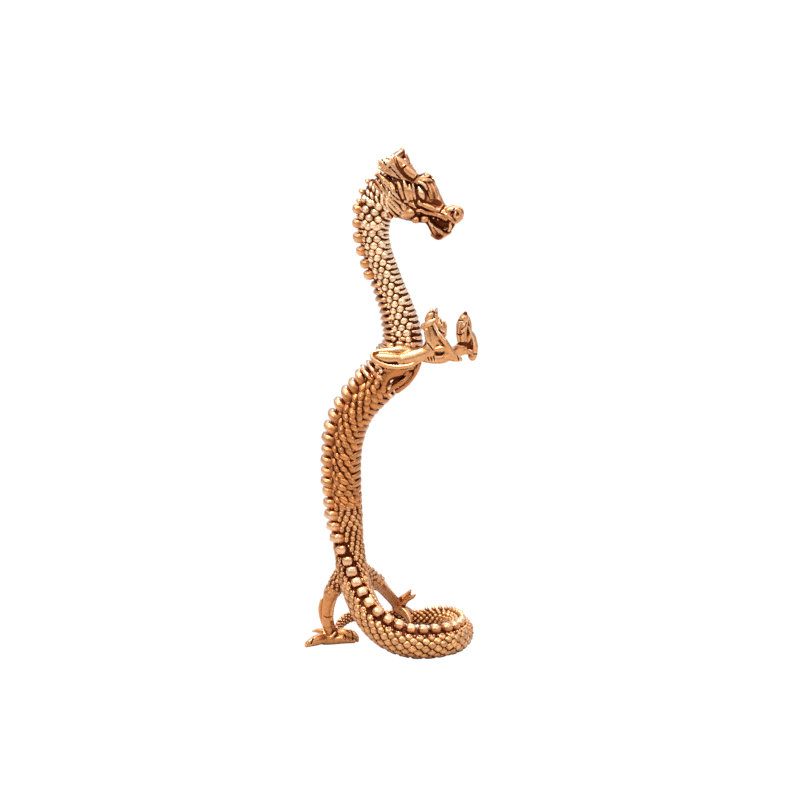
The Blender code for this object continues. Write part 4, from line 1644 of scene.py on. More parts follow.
EYE = ((24.6, 12.8, 480.3, 1.6), (27.4, 13.4, 475, 3.4), (29.2, 12.8, 470, 1.9))
SOCKET = ((24, 15, 482, 2.2), (27.2, 16.4, 475, 4.7), (29.8, 15, 468, 2.6))
WALL = ((27, 0, 447.6, 3), (36, 0, 443.4, 5.6), (44, 0, 440.4, 6.6), (50.4, 0, 440.6, 5))
MOUTH = ((30, 8.4, 447, 1.6), (37, 8.4, 446, 2.7), (44, 8, 443, 3.8), (49.6, 7.4, 441.6, 3.2))
PIT = ((38, 10.6, 466, 1.8), (42, 9, 465, 3), (45.2, 7.4, 464.8, 2.4))
COLLARS = (
    ((7.4, 15.8, 497.4, 0.9), (12.6, 15.8, 503.4, 0.9)),
    ((18.2, 14, 486.8, 0.9), (24.6, 12.6, 493.6, 0.9)),
)
CREST_WEBS = (
    ((-11.4, -16.6, 502, 4), (-7, -6, 504.6, 4), (-6.4, 6, 505.4, 4), (-5.4, 14, 506.4, 3.4)),
    ((-4, -14.6, 505, 3.6), (-3, -5, 506.4, 3.6), (-3, 6, 507, 3.6), (-3, 14, 508.4, 3.2)),
    ((3, -12, 498, 4.6), (3, -4, 499, 4.6), (2.4, 5, 499.6, 4.6), (2, 12, 500, 3.8)),
    ((12, -8, 490, 4.6), (10, 0, 491, 4.6), (8, 8, 492, 4.2)),
)
EDGE_KNOBS = ((8.2, 9.6, 496.9), (12.8, 8.6, 491.3), (16.4, 7.6, 487.8))
# Painted shade on each side of the head, under the crest and in the pit by the nose: forward, side, height
# and the radius that is darkened.
SIDE_SHADE_LINES = (
    ((-16, 14, 491.6, 3.4), (-5, 14, 486.6, 3.8), (7, 13, 486.2, 3)),
    ((38, 9.4, 466, 2), (42, 7.6, 465, 3.8), (45.4, 6, 464.6, 3)),
)
# Painted shade inside the mouth, in the gap under the crest and in the two collars of the near horn: forward,
# side, height and radius.
HEAD_SHADE_LINES = (
    ((30, 0, 446.6, 4.6), (37, 0, 444.6, 5.6), (44, 0, 441.6, 6.4), (49, 0, 440.6, 5.6)),
    ((-18, 0, 489, 9), (-4, 0, 489, 9), (8, 0, 489, 7)),
    ((7.4, -15.4, 497.4, 1.5), (12.6, -15.4, 503.4, 1.5)),
    ((18.2, -13.6, 486.8, 1.5), (24.6, -12.2, 493.6, 1.5)),
)

# Blades of the horn crest: forward, side, height and radius; the near side has the minus sign.
NEAR_BLADES = (
    ((18, -9.5, 487.6, 3), (7, -14, 491.6, 4.2), (-4.5, -17.4, 496, 4.2), (-14.6, -19.6, 499.4, 2)),
    ((17.1, -9, 490, 3.6), (5.4, -13.6, 497.4, 5), (-4.8, -16.8, 503, 4.4), (-15.4, -18.8, 506.5, 1.5)),
    ((16.6, -8.4, 491.4, 3.4), (7.8, -12, 500.6, 4.8), (1.4, -14.4, 507, 3.6), (-7.4, -16.6, 509.4, 1.4)),
    ((17.8, -8, 491, 3.2), (10.6, -9.6, 499.6, 3.8), (4.4, -11.6, 506, 3.2), (-2.4, -14, 511.2, 1.2)),
    ((14.3, -10, 490, 3), (3.1, -14.8, 494.6, 3.8), (-6.4, -17.6, 500.4, 3.4), (-15.8, -19.2, 503, 1.2)),
)
FAR_BLADES = (
    ((14.6, 8, 484.6, 3.4), (4.4, 11, 495.4, 4.4), (0.4, 13.4, 504.4, 3.8), (-3.4, 15, 512, 1.4)),
    ((14.6, 8.5, 483.4, 3.4), (2.4, 12.4, 493, 4.6), (-3.6, 15, 501, 3.8), (-10.4, 16.6, 507, 1)),
    ((14, 9, 481, 3.2), (2, 14.4, 487, 4), (-8, 17.4, 493, 3.2), (-15.6, 19, 499, 1)),
    ((13, 9, 482, 3), (1, 13.6, 490, 3.8), (-7, 16.4, 497, 3.2), (-13, 18, 503.4, 1)),
    ((6.5, 8, 494, 3.8), (15, 7, 486, 3.8)),
)


def mirrored(points: tuple[Point, ...], sign: int) -> tuple[Point, ...]:
    """Points of the far side of the head, or of the near side if the sign is minus."""
    return tuple((forward, sign * side, height, radius) for forward, side, height, radius in points)


@dataclass
class Head:
    """The head: skull, jaws, face, mane and horns."""

    cell: float = 0.62
    low: Point = (-27, -24, 421)
    high: Point = (71, 24, 516.5)

    def _both_sides(self, clay: Clay, points: tuple[Point, ...], blend: float, carve: bool = False) -> None:
        """Presses a form on each side of the face."""
        for sign in (-1, 1):
            clay.rod(mirrored(points, sign), blend=blend, carve=carve)

    def _horns(self, clay: Clay) -> None:
        """Presses the crest of horns, the near one's base and the knobs on the far one's edge."""
        for blade in NEAR_BLADES + FAR_BLADES:
            clay.rod(blade, blend=0.6, flat=(0.35, math.copysign(1, blade[0][1]), 0.45, 0.6))
        for web in CREST_WEBS:
            clay.rod(web, blend=1.2)
        base = ((10.2, -13.8, 500.1, 3.4), (15.6, -13, 495.1, 3.9), (21, -11.4, 490.5, 3.4))
        clay.rod(base, blend=0.3, flat=(0.35, -1, 0.45, 0.8))
        for knob in EDGE_KNOBS:
            clay.ball(knob, (1.6, 1.6, 1.6), blend=0.3)

    def build(self, shop: Workshop) -> None:
        """Models the head in clay and casts it."""
        clay = Clay(self.low, self.high, self.cell)
        clay.core(HEAD_CORE)
        clay.core(JAW_CORE, blend=0.8)
        for blend, points in FACE_FORMS:
            self._both_sides(clay, points, blend)
        self._horns(clay)
        for carved in (MOUTH, PIT, SOCKET):
            self._both_sides(clay, carved, 0.4, carve=True)
        self._both_sides(clay, EYE, 0.15)
        clay.rod(WALL, blend=0.6, flat=(0, 1, 0, 0.45))
        for sign in (-1, 1):
            # Painted highlight on the eyeball.
            clay.gleam(mirrored(EYE, sign))
            # Painted shade under the crest and in the pit by the nose.
            for shade_line in SIDE_SHADE_LINES:
                clay.darken(mirrored(shade_line, sign))
        for collar in COLLARS:
            clay.rod(mirrored(collar, -1), blend=0.3, carve=True)
        # Painted shade in the mouth, under the crest and in the collars of the near horn.
        for shade_line in HEAD_SHADE_LINES:
            clay.darken(shade_line)
        for sign in (-1, 1):
            for width, depth, line in FACE_GROOVES:
                laid = tuple((f, sign * 24, z) for f, z in line)
                clay.score(laid, (0, -sign, 0), width, depth)
        cast = clay.cast()
        cast.corners = shop.head_frame.to_grid(cast.corners)
        shop.add("head", cast.bake(shop.grid), shop.finishes[Metal.CARVED])


# The fold in front of the shoulder, two lips round a deep slit.
SHOULDER_FORMS = (
    (3, ((-8, -29, 279, 6.5), (1, -34, 287.6, 8), (10, -37, 298, 8.4))),
    (1.2, ((14, -36, 291.6, 3.4), (6.4, -37.4, 291.2, 3.6), (-0.6, -37, 286.4, 3.9),
           (-6, -35.4, 279.2, 3.6))),
    (1.2, ((-6, -35.4, 279.2, 3.6), (-9.4, -33.2, 272, 2.8))),
    (0.7, ((13, -36, 288.6, 2.6), (17.4, -34.2, 288.4, 3), (14.2, -35.4, 283, 3.2), (7.2, -35, 278.4, 3.2))),
    (0.7, ((7.2, -35, 278.4, 3.2), (0.4, -33.4, 273.2, 2.9), (-4, -31.4, 268, 2.2))),
    (1.2, ((26, -29.6, 297.2, 3.6), (21.6, -28, 288, 4.3), (14, -27, 277.4, 4.5), (5, -27, 269.5, 4))),
    (0.9, ((20, -38, 296.6, 3.6), (12, -39.4, 295.2, 3.6), (3, -39, 294, 3.4), (-6, -37, 292.4, 2.4))),
)
SHOULDER_GROOVES = (
    (1.1, 3.4, ((-4.2, 273.4), (-1.6, 279), (2.6, 283), (9.4, 286))),
    (0.6, 1.2, ((5, 296), (12, 295.4), (18, 296.4))),
    (0.6, 1.2, ((22.6, 296), (19.4, 287), (12.4, 279), (3.6, 271.6))),
)
NEAR_ARM_FORMS = (
    (1.5, ((4, -36, 298, 6.4), (10, -37, 300, 7.4))),
    (1.5, ((9, -39.4, 303.2, 7.6), (18, -39.8, 305.8, 7.6), (28, -39, 309, 7.4), (38, -38, 312.4, 7.2))),
    # The elbow's cup: its bowl, its rim and the skin over it.
    (0.8, ((6, -42, 305.8, 4.6), (-4, -42.6, 306, 5.2), (-12, -42, 307.6, 4), (-18.5, -40.6, 309.4, 2))),
    (0.3, ((27, -43.6, 303.4, 1.7), (18, -46, 299.6, 2.3), (7, -46.8, 298, 2.6), (-4, -46.4, 298.8, 2.6))),
    (0.3, ((-4, -46.4, 298.8, 2.6), (-13, -45, 302, 2.4), (-20, -42.6, 307, 1.9), (-19.6, -41, 311.2, 1.1))),
    (0.8, ((0, -38, 301, 5), (-9, -39, 303, 4.6), (-16, -38.6, 306.4, 3))),
    (0.4, ((-19.6, -39.6, 311.4, 1.6), (-12, -39.4, 312.6, 1.8), (-4, -38.4, 312.4, 1.4))),
    # Soft bumps of skin over the elbow.
    (1.6, ((18, -37, 311, 4.4), (9, -37, 313, 4.8), (0, -37.6, 312, 4.8), (-9, -38, 311.6, 3.8))),
    (1.2, ((-9, -38, 311.6, 3.8), (-16, -38.6, 311, 2.4))),
    (0.9, ((6, -35.6, 319, 3), (9, -35.6, 318.6, 3.2))),
    (0.8, ((-3, -35.4, 316, 2.6), (-0.6, -35.4, 317.4, 2.8))),
    (0.8, ((14.6, -36, 317.6, 2.8), (16.6, -36, 317, 2.8))),
    (0.8, ((1.4, -34.6, 322.4, 1.9), (2.6, -34.6, 323.4, 2))),
    (0.8, ((10, -35, 324, 2.2), (12, -35, 323.6, 2.2))),
    (0.8, ((-8.6, -35.6, 312.6, 2.4), (-7, -35.6, 313, 2.4))),
    # Palm and wrist.
    (1.6, ((36, -38, 311.4, 7), (40, -38.2, 319.8, 7.2), (41, -38.6, 328.8, 6.6), (39, -38.6, 336, 5.4))),
    (1.4, ((34, -38, 305.6, 5.4), (42, -38, 304.8, 5.6), (50, -38, 305.2, 5.8), (56, -38, 307.4, 5.2))),
    (0.5, ((31.6, -41, 338.4, 3.2), (36.6, -42, 341.2, 3.4), (41, -41, 343.2, 2.8))),
    (0.6, ((33, -41.6, 315.5, 2.6), (37, -43, 321, 2.9), (35.6, -43, 328.2, 3.1), (34.5, -42.6, 335, 3))),
    (0.5, ((43.6, -42.6, 315.6, 3), (48.6, -43, 316, 3.8), (53, -42, 317, 3))),
    (0.35, ((40.6, -42, 344, 1.7), (43.2, -43.8, 338.4, 2), (46.8, -44.4, 331.4, 2.4),
            (52.2, -43.8, 324.4, 2.9))),
    (0.35, ((52.2, -43.8, 324.4, 2.9), (56.6, -42.2, 316.8, 3), (61.6, -40.6, 309.4, 2.9),
            (67.6, -39, 305.4, 1.6))),
    (0.8, ((41, -38.6, 325, 6), (49, -39, 320, 4.8), (56.4, -39.5, 311, 4.6))),
    # Fingers, thumb and their claws.
    (0.5, ((46, -39, 328, 5.6), (46, -39.6, 340, 4.2))),
    (0.4, ((36, -41, 345.6, 3.4), (38, -41, 349.4, 3.8), (39.6, -40.6, 353, 2.4), (39.2, -40.4, 356.4, 1))),
    (0.3, ((45, -40, 334.7, 2.6), (44.2, -41, 343.2, 2.3), (43.8, -41, 351.5, 2.1), (44.6, -41, 358, 0.9))),
    (0.3, ((50, -40, 328.5, 3.4), (49, -41, 336, 3.6), (47.8, -40.4, 342, 3), (47.4, -40, 346.6, 1.2))),
    (0.3, ((52, -37.6, 329, 2.5), (52.4, -38, 337, 2.6), (52.6, -37.8, 342.6, 1.1))),
    (0.7, ((55, -39, 309.4, 5.4), (61, -38.8, 306.4, 4.6), (66.4, -38.6, 304.4, 3), (69.4, -38, 303, 1.2))),
    (0.3, ((33.6, -43.4, 342, 1.6), (38, -44, 344, 1.8), (42.6, -43, 346, 1.2))),
)
NEAR_ARM_GROOVES = (
    (0.8, 1.6, ((41.6, 337), (43.4, 334.4), (45, 331))),
    (0.7, 1.4, ((46.6, 335.2), (49, 333.4), (51.6, 331.7))),
    (0.6, 1.2, ((35.6, 322.4), (38, 319.3), (40.6, 315.2))),
    (0.5, 0.9, ((35.6, 307.8), (37.2, 303.6))), (0.5, 0.9, ((38.6, 307.8), (40, 303.6))),
    (0.5, 0.9, ((41.4, 307.8), (42.4, 304))), (0.6, 1, ((48.4, 345), (49.6, 341.6))),
    (0.5, 0.8, ((65.4, 308.4), (66.4, 303.8))), (0.5, 0.8, ((36.4, 352.6), (41.4, 354))),
    (0.5, 0.8, ((41.8, 352.4), (46, 352.6))), (0.6, 1.2, ((-7.6, 303.4), (-1, 302), (4.6, 302.6))),
)
FAR_ARM_FORMS = (
    (3, ((-12, -9, 268, 9), (-4, -1, 278, 10), (6, 3, 287.5, 9), (18, 5, 293.5, 7.5))),
    (1.6, ((18, 5, 293.5, 7.4), (38, 5, 298, 6.4), (60, 4, 300.5, 5.2), (68, 3.6, 302.4, 5.6))),
    (0.5, ((18, 8, 295, 5.4), (4, 9, 292, 4.8), (-6, 9, 295, 2.6))),
    (0.5, ((14, 8, 299, 4.6), (4, 9, 304, 3.2), (-3, 8, 311, 0.9))),
    (0.8, ((64, 2.6, 301.4, 4.6), (69, 1.6, 306.4, 5.2))),
    (0.6, ((66, 3, 300.6, 5), (73.6, 3, 302.4, 4.6), (79, 3, 300.6, 3.4))),
    (0.5, ((75.4, 4, 304.4, 4), (77.6, 4, 310.6, 3.6))),
    (0.4, ((64.6, -1.6, 307.6, 1.5), (69, -4.2, 308.6, 1.8), (74, -1.6, 308.4, 1.5))),
    (0.7, ((71, 1, 311, 5.2), (69.6, -1, 320, 5.6), (70, -2, 330, 5.6), (72.2, -2, 337.4, 4.4))),
    (0.5, ((72, -2, 337.4, 4.4), (73.4, -2, 341.6, 2))),
    (0.3, ((67, -4.6, 314, 1.8), (66, -5.6, 323, 2), (67.4, -5.8, 332, 1.8), (70.4, -5, 337, 1.1))),
    (0.3, ((70.4, -5, 315, 2.6), (70, -6, 324, 2.8), (71.6, -6, 331, 2.2))),
    (0.5, ((73, 5, 308, 5), (75, 6.4, 318, 4.6), (76, 7, 328, 3.8), (75.6, 7, 335, 2))),
    (0.5, ((73, 2.6, 307, 4.4), (77.6, 2.6, 318.6, 3.6), (81, 3, 315, 3.3), (83, 3, 306, 3.2))),
    (0.5, ((83, 3, 306, 3.2), (82.4, 3, 300, 3.4), (80.4, 3, 295.6, 4.3))),
    (0.3, ((76, 0.6, 327, 1.6), (78.4, 0.4, 321.6, 1.6), (81, 0.6, 315.6, 1.5), (82.4, 0.6, 307, 1.4))),
)
FAR_ARM_GROOVES = (
    (0.6, 1, ((66, 335), (71, 335.6))), (0.6, 1, ((69.6, 326.4), (73, 329.6), (74.4, 333))),
    (0.6, 1, ((64.4, 322), (68, 321), (72, 323.4))), (0.5, 0.8, ((81, 299), (86, 299))),
)
NEAR_LEG_FORMS = (
    (3, ((-41.7, -18, 90, 9.2), (-46.4, -16.5, 79, 9.6), (-54, -13.5, 66, 8.6), (-61.4, -10.6, 53, 7.4))),
    (1.6, ((-61.4, -10.6, 53, 7.2), (-65, -8, 38, 6.3), (-65, -7, 27, 5.9), (-63, -7, 15, 5.9))),
    (1.6, ((-63.6, -7, 15, 6.2), (-62, -7.6, 9, 5.8))),
    (0.9, ((-71, -9.6, 46, 1.5), (-72.4, -7.8, 36, 1.8), (-70.6, -6.4, 24, 1.7), (-67, -6, 14, 1.2))),
    (0.9, ((-56.4, -14, 50, 1.6), (-59.8, -12.4, 38, 1.7), (-60.6, -11.4, 26, 1.5))),
    # The rim of skin over the ankle.
    (0.3, ((-69.4, -11, 16, 1.5), (-66.4, -14, 10.4, 1.9), (-61.4, -14.8, 8.2, 2), (-57.4, -13, 12.4, 1.5))),
    # Toes and claws.
    (0.9, ((-62, -8, 7.6, 6), (-70, -13.6, 7.2, 5.6), (-77, -18, 6, 5.2), (-84, -22.4, 4.2, 3.2))),
    (0.9, ((-82, -21, 4.4, 3.4), (-86, -24, 2.6, 1.9))),
    (0.3, ((-70, -16, 10.6, 1.5), (-77.6, -20.6, 9.2, 1.8), (-83.4, -24, 6.4, 1.3))),
    (1.4, ((-68, -12, 5, 5), (-60, -11, 4.6, 4.6), (-50, -10, 5.4, 4.6))),
    (0.8, ((-60, -6, 6.6, 5.4), (-53, -7, 10.4, 4.8), (-46.4, -7.6, 10.8, 4.9), (-40.4, -8, 9.4, 4.4))),
    (0.8, ((-40.4, -8, 9.4, 4.4), (-36.6, -8.4, 6.6, 3.2), (-35, -8.4, 3.4, 1.8))),
    (0.8, ((-60, -9, 4.6, 4.2), (-51, -10.4, 4.6, 3.8), (-43, -10.6, 4, 3), (-38.4, -10.6, 3.2, 2))),
    (0.8, ((-61.5, -3, 8, 5), (-69, 1.6, 9.4, 3.6), (-74.6, 4, 10, 2.3), (-80, 5.6, 9, 0.9))),
)
NEAR_LEG_GROOVES = (
    (0.6, 1.1, ((-41.6, 14.6), (-39.4, 10), (-39.8, 5))), (0.6, 1, ((-47.6, 10.4), (-46.6, 6.4))),
    (0.6, 1, ((-79, 9.6), (-81.4, 4.4))), (0.4, 0.6, ((-68.6, 30), (-64.6, 28.6), (-60.6, 29.6))),
)
FAR_LEG_FORMS = (
    (3, ((-39.4, -16, 88, 9.8), (-33, -8, 77, 9.6), (-24.6, 4, 67.6, 8.8), (-16, 17, 57.4, 7.7))),
    (1.6, ((-15, 17, 58, 7.6), (-7, 32, 44, 5.9), (1.5, 46, 30, 5.4), (7, 54, 21, 6))),
    (0.6, ((-12, 10.6, 60, 1.4), (-4, 25, 48, 1.6), (4, 39, 35, 1.5), (9, 47, 26, 1))),
    (0.8, ((6, 52, 22, 6.4), (11, 50.6, 28.6, 5), (15.6, 49, 34.6, 3), (18.8, 48, 40.4, 0.9))),
    (0.6, ((9, 52, 25, 4.4), (15, 49, 30.6, 3.2), (20.6, 46.6, 33.4, 2), (23.6, 45.6, 36.4, 0.8))),
    (0.8, ((7.5, 55, 18.5, 6.2), (14, 60, 15, 4.6), (19, 65, 11, 3.4), (22, 68, 7, 1))),
    (0.8, ((6.5, 54.5, 19.5, 6), (4, 64, 16.5, 4.8), (2, 72, 13, 3.4), (1, 77, 8, 1))),
    (0.8, ((8, 53, 18, 5.8), (13, 46, 16.6, 4.6), (17, 40.4, 12, 3.6), (18.6, 36, 6, 1.8))),
    (0.35, ((8, 46.6, 22.6, 1.4), (12.4, 42.6, 20.4, 1.6), (16.4, 38, 15.4, 1.4), (18.6, 34.6, 10, 0.9))),
)
FAR_LEG_GROOVES = (
    (0.6, 1, ((1, 26), (5, 22.6), (9, 24))), (0.5, 0.8, ((12, 30), (15.6, 26.6))),
    (0.5, 0.8, ((14, 14), (19, 14.6))),
)


@dataclass(frozen=True)
class Limb:
    """A leg, modelled in clay.

    Attributes:
        low: The lowest corner of its block of clay.
        high: The highest corner.
        forms: What is pressed on: fillet, then x, y, z and radius at each point.
        grooves: What is scored on its near side: half width, depth, then x and z of each point.
        slits: What is carved out, with painted shade in and round it.
        shade_spots: Lines round which the metal is only darkened, as painted shade.
        thigh: The middle line of the part with scales.
        finish: Its finish.
        cell: The side of a cell of its clay.
        pitch: Distance between two rows of the thigh's scales.
        column: Distance between two scales of a row.
    """

    name: str
    low: Point
    high: Point
    forms: tuple[tuple, ...]
    grooves: tuple[tuple, ...]
    slits: tuple = ()
    shade_spots: tuple = ()
    thigh: tuple[Point, ...] = ()
    finish: Metal = Metal.LIMBS
    cell: float = 0.5
    pitch: float = 4.2
    column: float = 5.4

    def build(self, shop: Workshop, coat: Coat) -> None:
        """Models the leg in clay, casts it and lays scales on its thigh.

        Args:
            shop: What the figure is made with.
            coat: The tree that sets out carved forms.
        """
        clay = Clay(self.low, self.high, self.cell)
        for blend, points in self.forms:
            clay.rod(points, blend=blend)
        for width, depth, line in self.grooves:
            laid = tuple((x, self.low[1], z) for x, z in line)
            clay.score(laid, (0.0, 1.0, 0.0), width, depth)
        for slit in self.slits:
            clay.rod(slit, blend=0.3, carve=True)
            # Painted shade in and round the slit.
            clay.darken(tuple((x, y, z, r + 1.4) for x, y, z, r in slit))
        # Painted shade along the limb's listed spots.
        for stain_and_shade in self.shade_spots:
            clay.darken(stain_and_shade)
        if self.thigh:
            # The thigh's skin under its scales is darkened too, as the patina that shows between them.
            clay.darken(tuple((x, y, z, 1.22 * r) for x, y, z, r in self.thigh[:-1]))
        if (clay.lines[2] < 0.0).any():
            under = -clay.lines[2].reshape(1, 1, -1)
            clay.distance = np.maximum(clay.distance, under)
        cast = clay.cast()
        shop.add(self.name, cast.bake(shop.grid), shop.finishes[self.finish])
        if self.thigh:
            seeds = self._thigh_seeds(clay)
            form = ScaleForm(self.name + "_scale", sides=8, squareness=1.9, rake=0.3, crown=2.8)
            mesh = coat.lay(shop, form, seeds, shop.finishes[Metal.TAIL], 0.15, 0.10, 5)
            shop.add(self.name + "_scales", mesh, shop.finishes[Metal.TAIL])

    def _thigh_seeds(self, clay: Clay) -> Seeds:
        """Places for the fine scales of the thigh, on the surface of the clay."""
        found = Seeds()
        rows = np.array(self.thigh, float)
        fine = smooth_rows(rows, np.linspace(0, len(rows) - 1, 16 * len(rows)))
        gaps = np.linalg.norm(np.diff(fine[:, :3], axis=0), axis=1)
        lengths = np.concatenate([[0.0], np.cumsum(gaps)])
        for row, length in enumerate(np.arange(0.0, lengths[-1], self.pitch)):
            ring = rows_at(lengths, fine, length)
            spot, radius = ring[:3], ring[3]
            ahead = rows_at(lengths, fine[:, :3], length + 1.0)
            along = unit(ahead - rows_at(lengths, fine[:, :3], length - 1.0))
            first = unit(np.cross(along, np.array([0.0, 1.0, 0.0])))
            second = np.cross(along, first)
            count = int(WHOLE_TURN * radius / self.column)
            size = 1.0 - 0.25 * length / lengths[-1]
            for column in range(count):
                angle = WHOLE_TURN * (column + 0.5 * (row % 2)) / count
                way = first * math.cos(angle) + second * math.sin(angle)
                steps = np.arange(radius + 6.0, 0.0, -0.3)
                met = np.flatnonzero(clay.read(spot + steps[:, None] * way) < 0.0)
                if not len(met):
                    continue
                place = spot + way * steps[met[0]]
                facing = clay.facing(place[None])[0]
                back = unit(along - facing * float(along @ facing))
                found.sow(place - facing * 0.5, facing, back, np.array((3.2, 2.7, 1.9)) * size)
        return found


def limbs() -> tuple[Limb, ...]:
    """The four legs and the fold of the shoulder."""
    return (
        Limb(
            "shoulder_fold",
            (-20, -48, 258), (34, -16, 312), SHOULDER_FORMS, SHOULDER_GROOVES,
            slits=(
                ((-4, -38, 274.6, 1), (-1, -39, 280.4, 2.3), (3.4, -40, 284, 2.5), (9.4, -39.4, 287, 1.2)),
            ),
            # Painted shade: the shoulder fold takes the darker copy of the copper.
            finish=Metal.WARM,
        ),
        Limb(
            "near_foreleg",
            (-34, -53, 284), (76, -12, 364), NEAR_ARM_FORMS, NEAR_ARM_GROOVES,
            # Painted shade at the back end of the elbow's cup.
            shade_spots=(((-17.8, -42.6, 310.6, 1.8), (-14.6, -42.6, 311.4, 2.0)),),
            finish=Metal.ARMS,
        ),
        Limb(
            "far_foreleg",
            (-26, -20, 252), (92, 22, 348), FAR_ARM_FORMS, FAR_ARM_GROOVES,
            # Painted shade on the far hand: at the wrist, between the fingers, at a finger's tip and along
            # the edge that faces the body.
            shade_spots=(
                ((69, -5, 311.4, 2.2), (74, -3, 310, 2.6)),
                ((76.6, 0, 306, 2.2), (77.6, 0, 310.6, 2)),
                ((72.6, -3, 339.6, 2.4), (73.8, -2.4, 343, 2.6)),
                ((63, -3, 316, 1.8), (62.4, -3.6, 324, 1.8), (63.6, -3.6, 333, 1.8)),
            ),
            finish=Metal.ARMS,
        ),
        Limb(
            "near_hind_leg",
            (-91, -33, -1), (-26, 12, 106), NEAR_LEG_FORMS, NEAR_LEG_GROOVES,
            thigh=((-42, -18, 92, 9.6), (-46.4, -16.5, 79, 10), (-54, -13.5, 66, 8.9), (-61, -10.6, 51, 7.6)),
        ),
        Limb(
            "far_hind_leg",
            (-54, -32, 0.4), (33, 82, 104), FAR_LEG_FORMS, FAR_LEG_GROOVES,
            thigh=((-37.4, -14, 86, 9.8), (-33, -8, 77, 9.6), (-24.6, 4, 67.6, 8.8), (-15, 19, 55.8, 7.5)),
        ),
    )


class Side(Enum):
    """Where a soft light stands."""

    OVERHEAD = "overhead"
    FRONT_LEFT = "front_left"
    FRONT_RIGHT = "front_right"
    BACK = "back"


@dataclass(frozen=True)
class SoftLight:
    """A square soft light.

    Attributes:
        side: Where it stands.
        spot: Its place, in metres.
        width: Its side, in metres.
        radiance: How bright its face is.
    """

    side: Side
    spot: Point
    width: float
    radiance: float

    def hang(self, target: Vector) -> None:
        """Hangs the light so that it faces a point."""
        lamp = bpy.data.lights.new(self.side.value, "AREA")
        lamp.shape = "SQUARE"
        lamp.size = self.width
        lamp.energy = self.radiance * math.pi * self.width**2
        holder = bpy.data.objects.new(self.side.value, lamp)
        holder.location = self.spot
        facing = target - Vector(self.spot)
        holder.rotation_euler = facing.to_track_quat("-Z", "Y").to_euler()
        bpy.context.scene.collection.objects.link(holder)


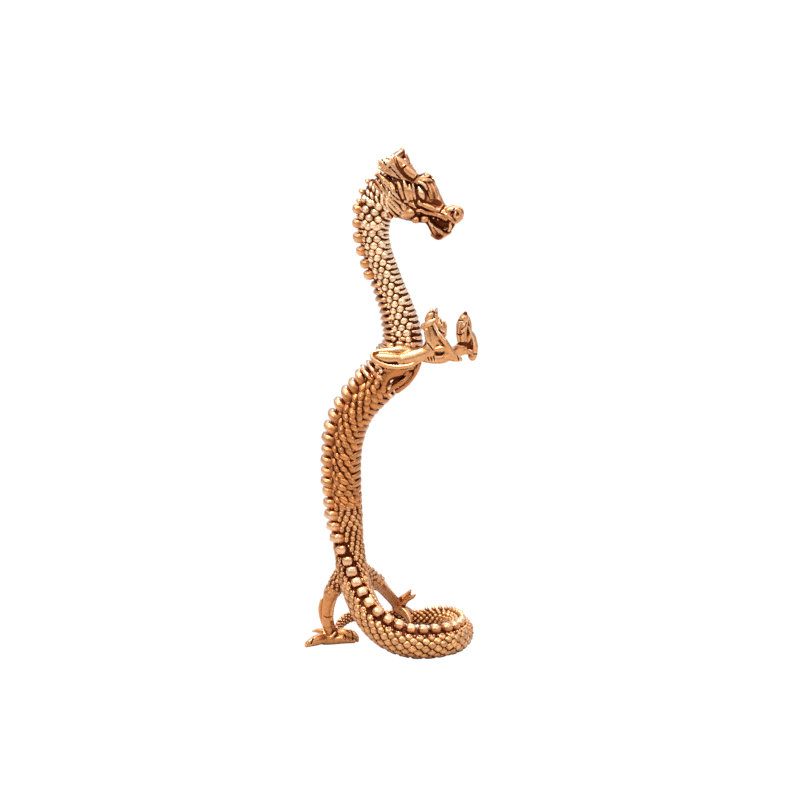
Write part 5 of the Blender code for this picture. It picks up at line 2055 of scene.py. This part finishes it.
@dataclass
class Studio:
    """The floor, the soft lights and the camera.

    Attributes:
        elevation: How far down the camera looks, in radians.
        lens: The camera's focal length, in millimetres.
        frame_squares: How many squares of the grid are across the picture.
        aim: The point of the grid in the middle of the picture.
    """

    grid: PoseGrid
    elevation: float = math.radians(15.0)
    lens: float = 600.0
    sensor: float = 36.0
    frame_squares: float = 800.0
    aim: Point = (8.0, -18.0, 256.3)
    lights: tuple[SoftLight, ...] = (
        SoftLight(Side.OVERHEAD, (-0.08, -0.15, 0.80), 0.34, 15.0),
        SoftLight(Side.FRONT_LEFT, (-0.55, -0.75, 0.62), 0.22, 8.0),
        SoftLight(Side.FRONT_RIGHT, (0.80, -0.55, 0.50), 0.20, 5.0),
        SoftLight(Side.BACK, (0.1, 0.85, 0.6), 0.30, 4.0),
    )

    def _floor(self) -> None:
        """Lays the floor, a wide round sheet that the camera sees as plain white."""
        rings, sides, radius = 6, 48, 9.0
        turn = np.arange(sides) * WHOLE_TURN / sides
        spots = [np.zeros((1, 3))]
        for ring in range(1, rings + 1):
            reach = radius * (ring / rings) ** 3
            spots.append(np.stack([reach * np.cos(turn), reach * np.sin(turn), np.zeros(sides)], axis=1))
        faces = [face for face in stacked_faces(rings, sides) if 1 + rings * sides not in face]
        faces = [face[::-1] for face in faces]
        mesh = bpy.data.meshes.new("studio_floor")
        mesh.from_pydata(np.concatenate(spots).tolist(), [], faces)
        floor = bpy.data.objects.new("studio_floor", mesh)
        bpy.context.scene.collection.objects.link(floor)
        paint = bpy.data.materials.new("pale_floor")
        paint.use_nodes = True
        desk = NodeDesk(paint.node_tree)
        shader = paint.node_tree.nodes["Principled BSDF"]
        shader.inputs["Base Color"].default_value = (0.52, 0.50, 0.48, 1.0)
        shader.inputs["Roughness"].default_value = 0.7
        white = desk.add("ShaderNodeEmission", {"Color": (1.0, 1.0, 1.0, 1.0), "Strength": 1.05})
        path = desk.add("ShaderNodeLightPath")
        seen = desk.add("ShaderNodeMixShader", {"Fac": path.outputs["Is Camera Ray"]})
        desk.tree.links.new(shader.outputs[0], seen.inputs[1])
        desk.tree.links.new(white.outputs[0], seen.inputs[2])
        desk.feed(paint.node_tree.nodes["Material Output"], "Surface", seen.outputs[0])
        mesh.materials.append(paint)

    def _world(self) -> None:
        """Fills the room with soft light, brighter from above than from the sides."""
        world = bpy.data.worlds.new("studio_room")
        bpy.context.scene.world = world
        world.use_nodes = True
        desk = NodeDesk(world.node_tree)
        up = desk.add("ShaderNodeSeparateXYZ")
        desk.tree.links.new(desk.add("ShaderNodeTexCoord").outputs["Generated"], up.inputs[0])
        height = desk.span(up.outputs["Z"], 0.15, 0.8)
        colour = desk.blend(height, (0.60, 0.60, 0.61, 1.0), (1.8, 1.8, 1.8, 1.0))
        desk.feed(world.node_tree.nodes["Background"], "Color", colour)

    def _camera(self, target: Vector) -> None:
        """Sets up the long lens at the photograph's height."""
        lens = bpy.data.cameras.new("camera")
        lens.lens = self.lens
        lens.sensor_width = self.sensor
        lens.clip_end = 50.0
        distance = self.frame_squares * self.grid.square * self.lens / self.sensor
        holder = bpy.data.objects.new("camera", lens)
        away = Vector((0.0, -math.cos(self.elevation), math.sin(self.elevation)))
        holder.location = target + away * distance
        holder.rotation_euler = (math.pi / 2.0 - self.elevation, 0.0, 0.0)
        bpy.context.scene.collection.objects.link(holder)
        bpy.context.scene.camera = holder

    def build(self) -> None:
        """Sets the studio up."""
        target = Vector(self.grid.place(np.array([self.aim]))[0])
        self._floor()
        self._world()
        for light in self.lights:
            light.hang(target)
        self._camera(target)
        view = bpy.context.scene.view_settings
        view.view_transform = "Standard"
        view.look = "None"


def main() -> None:
    """Builds the figure around the casting, and the studio around the figure."""
    logging.basicConfig(level=logging.INFO, format="%(name)s: %(message)s")
    for found in list(bpy.data.objects):
        bpy.data.objects.remove(found, do_unlink=True)
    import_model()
    grid = PoseGrid.over(CASTING)
    Studio(grid).build()
    shop = Workshop(grid, mixed_finishes())
    coat = Coat()
    BodySkin().build(shop)
    ScaledFlanks().build(shop, coat)
    BackAndBelly().build(shop, coat)
    Head().build(shop)
    for limb in limbs():
        limb.build(shop, coat)


if __name__ == "__main__":
    main()
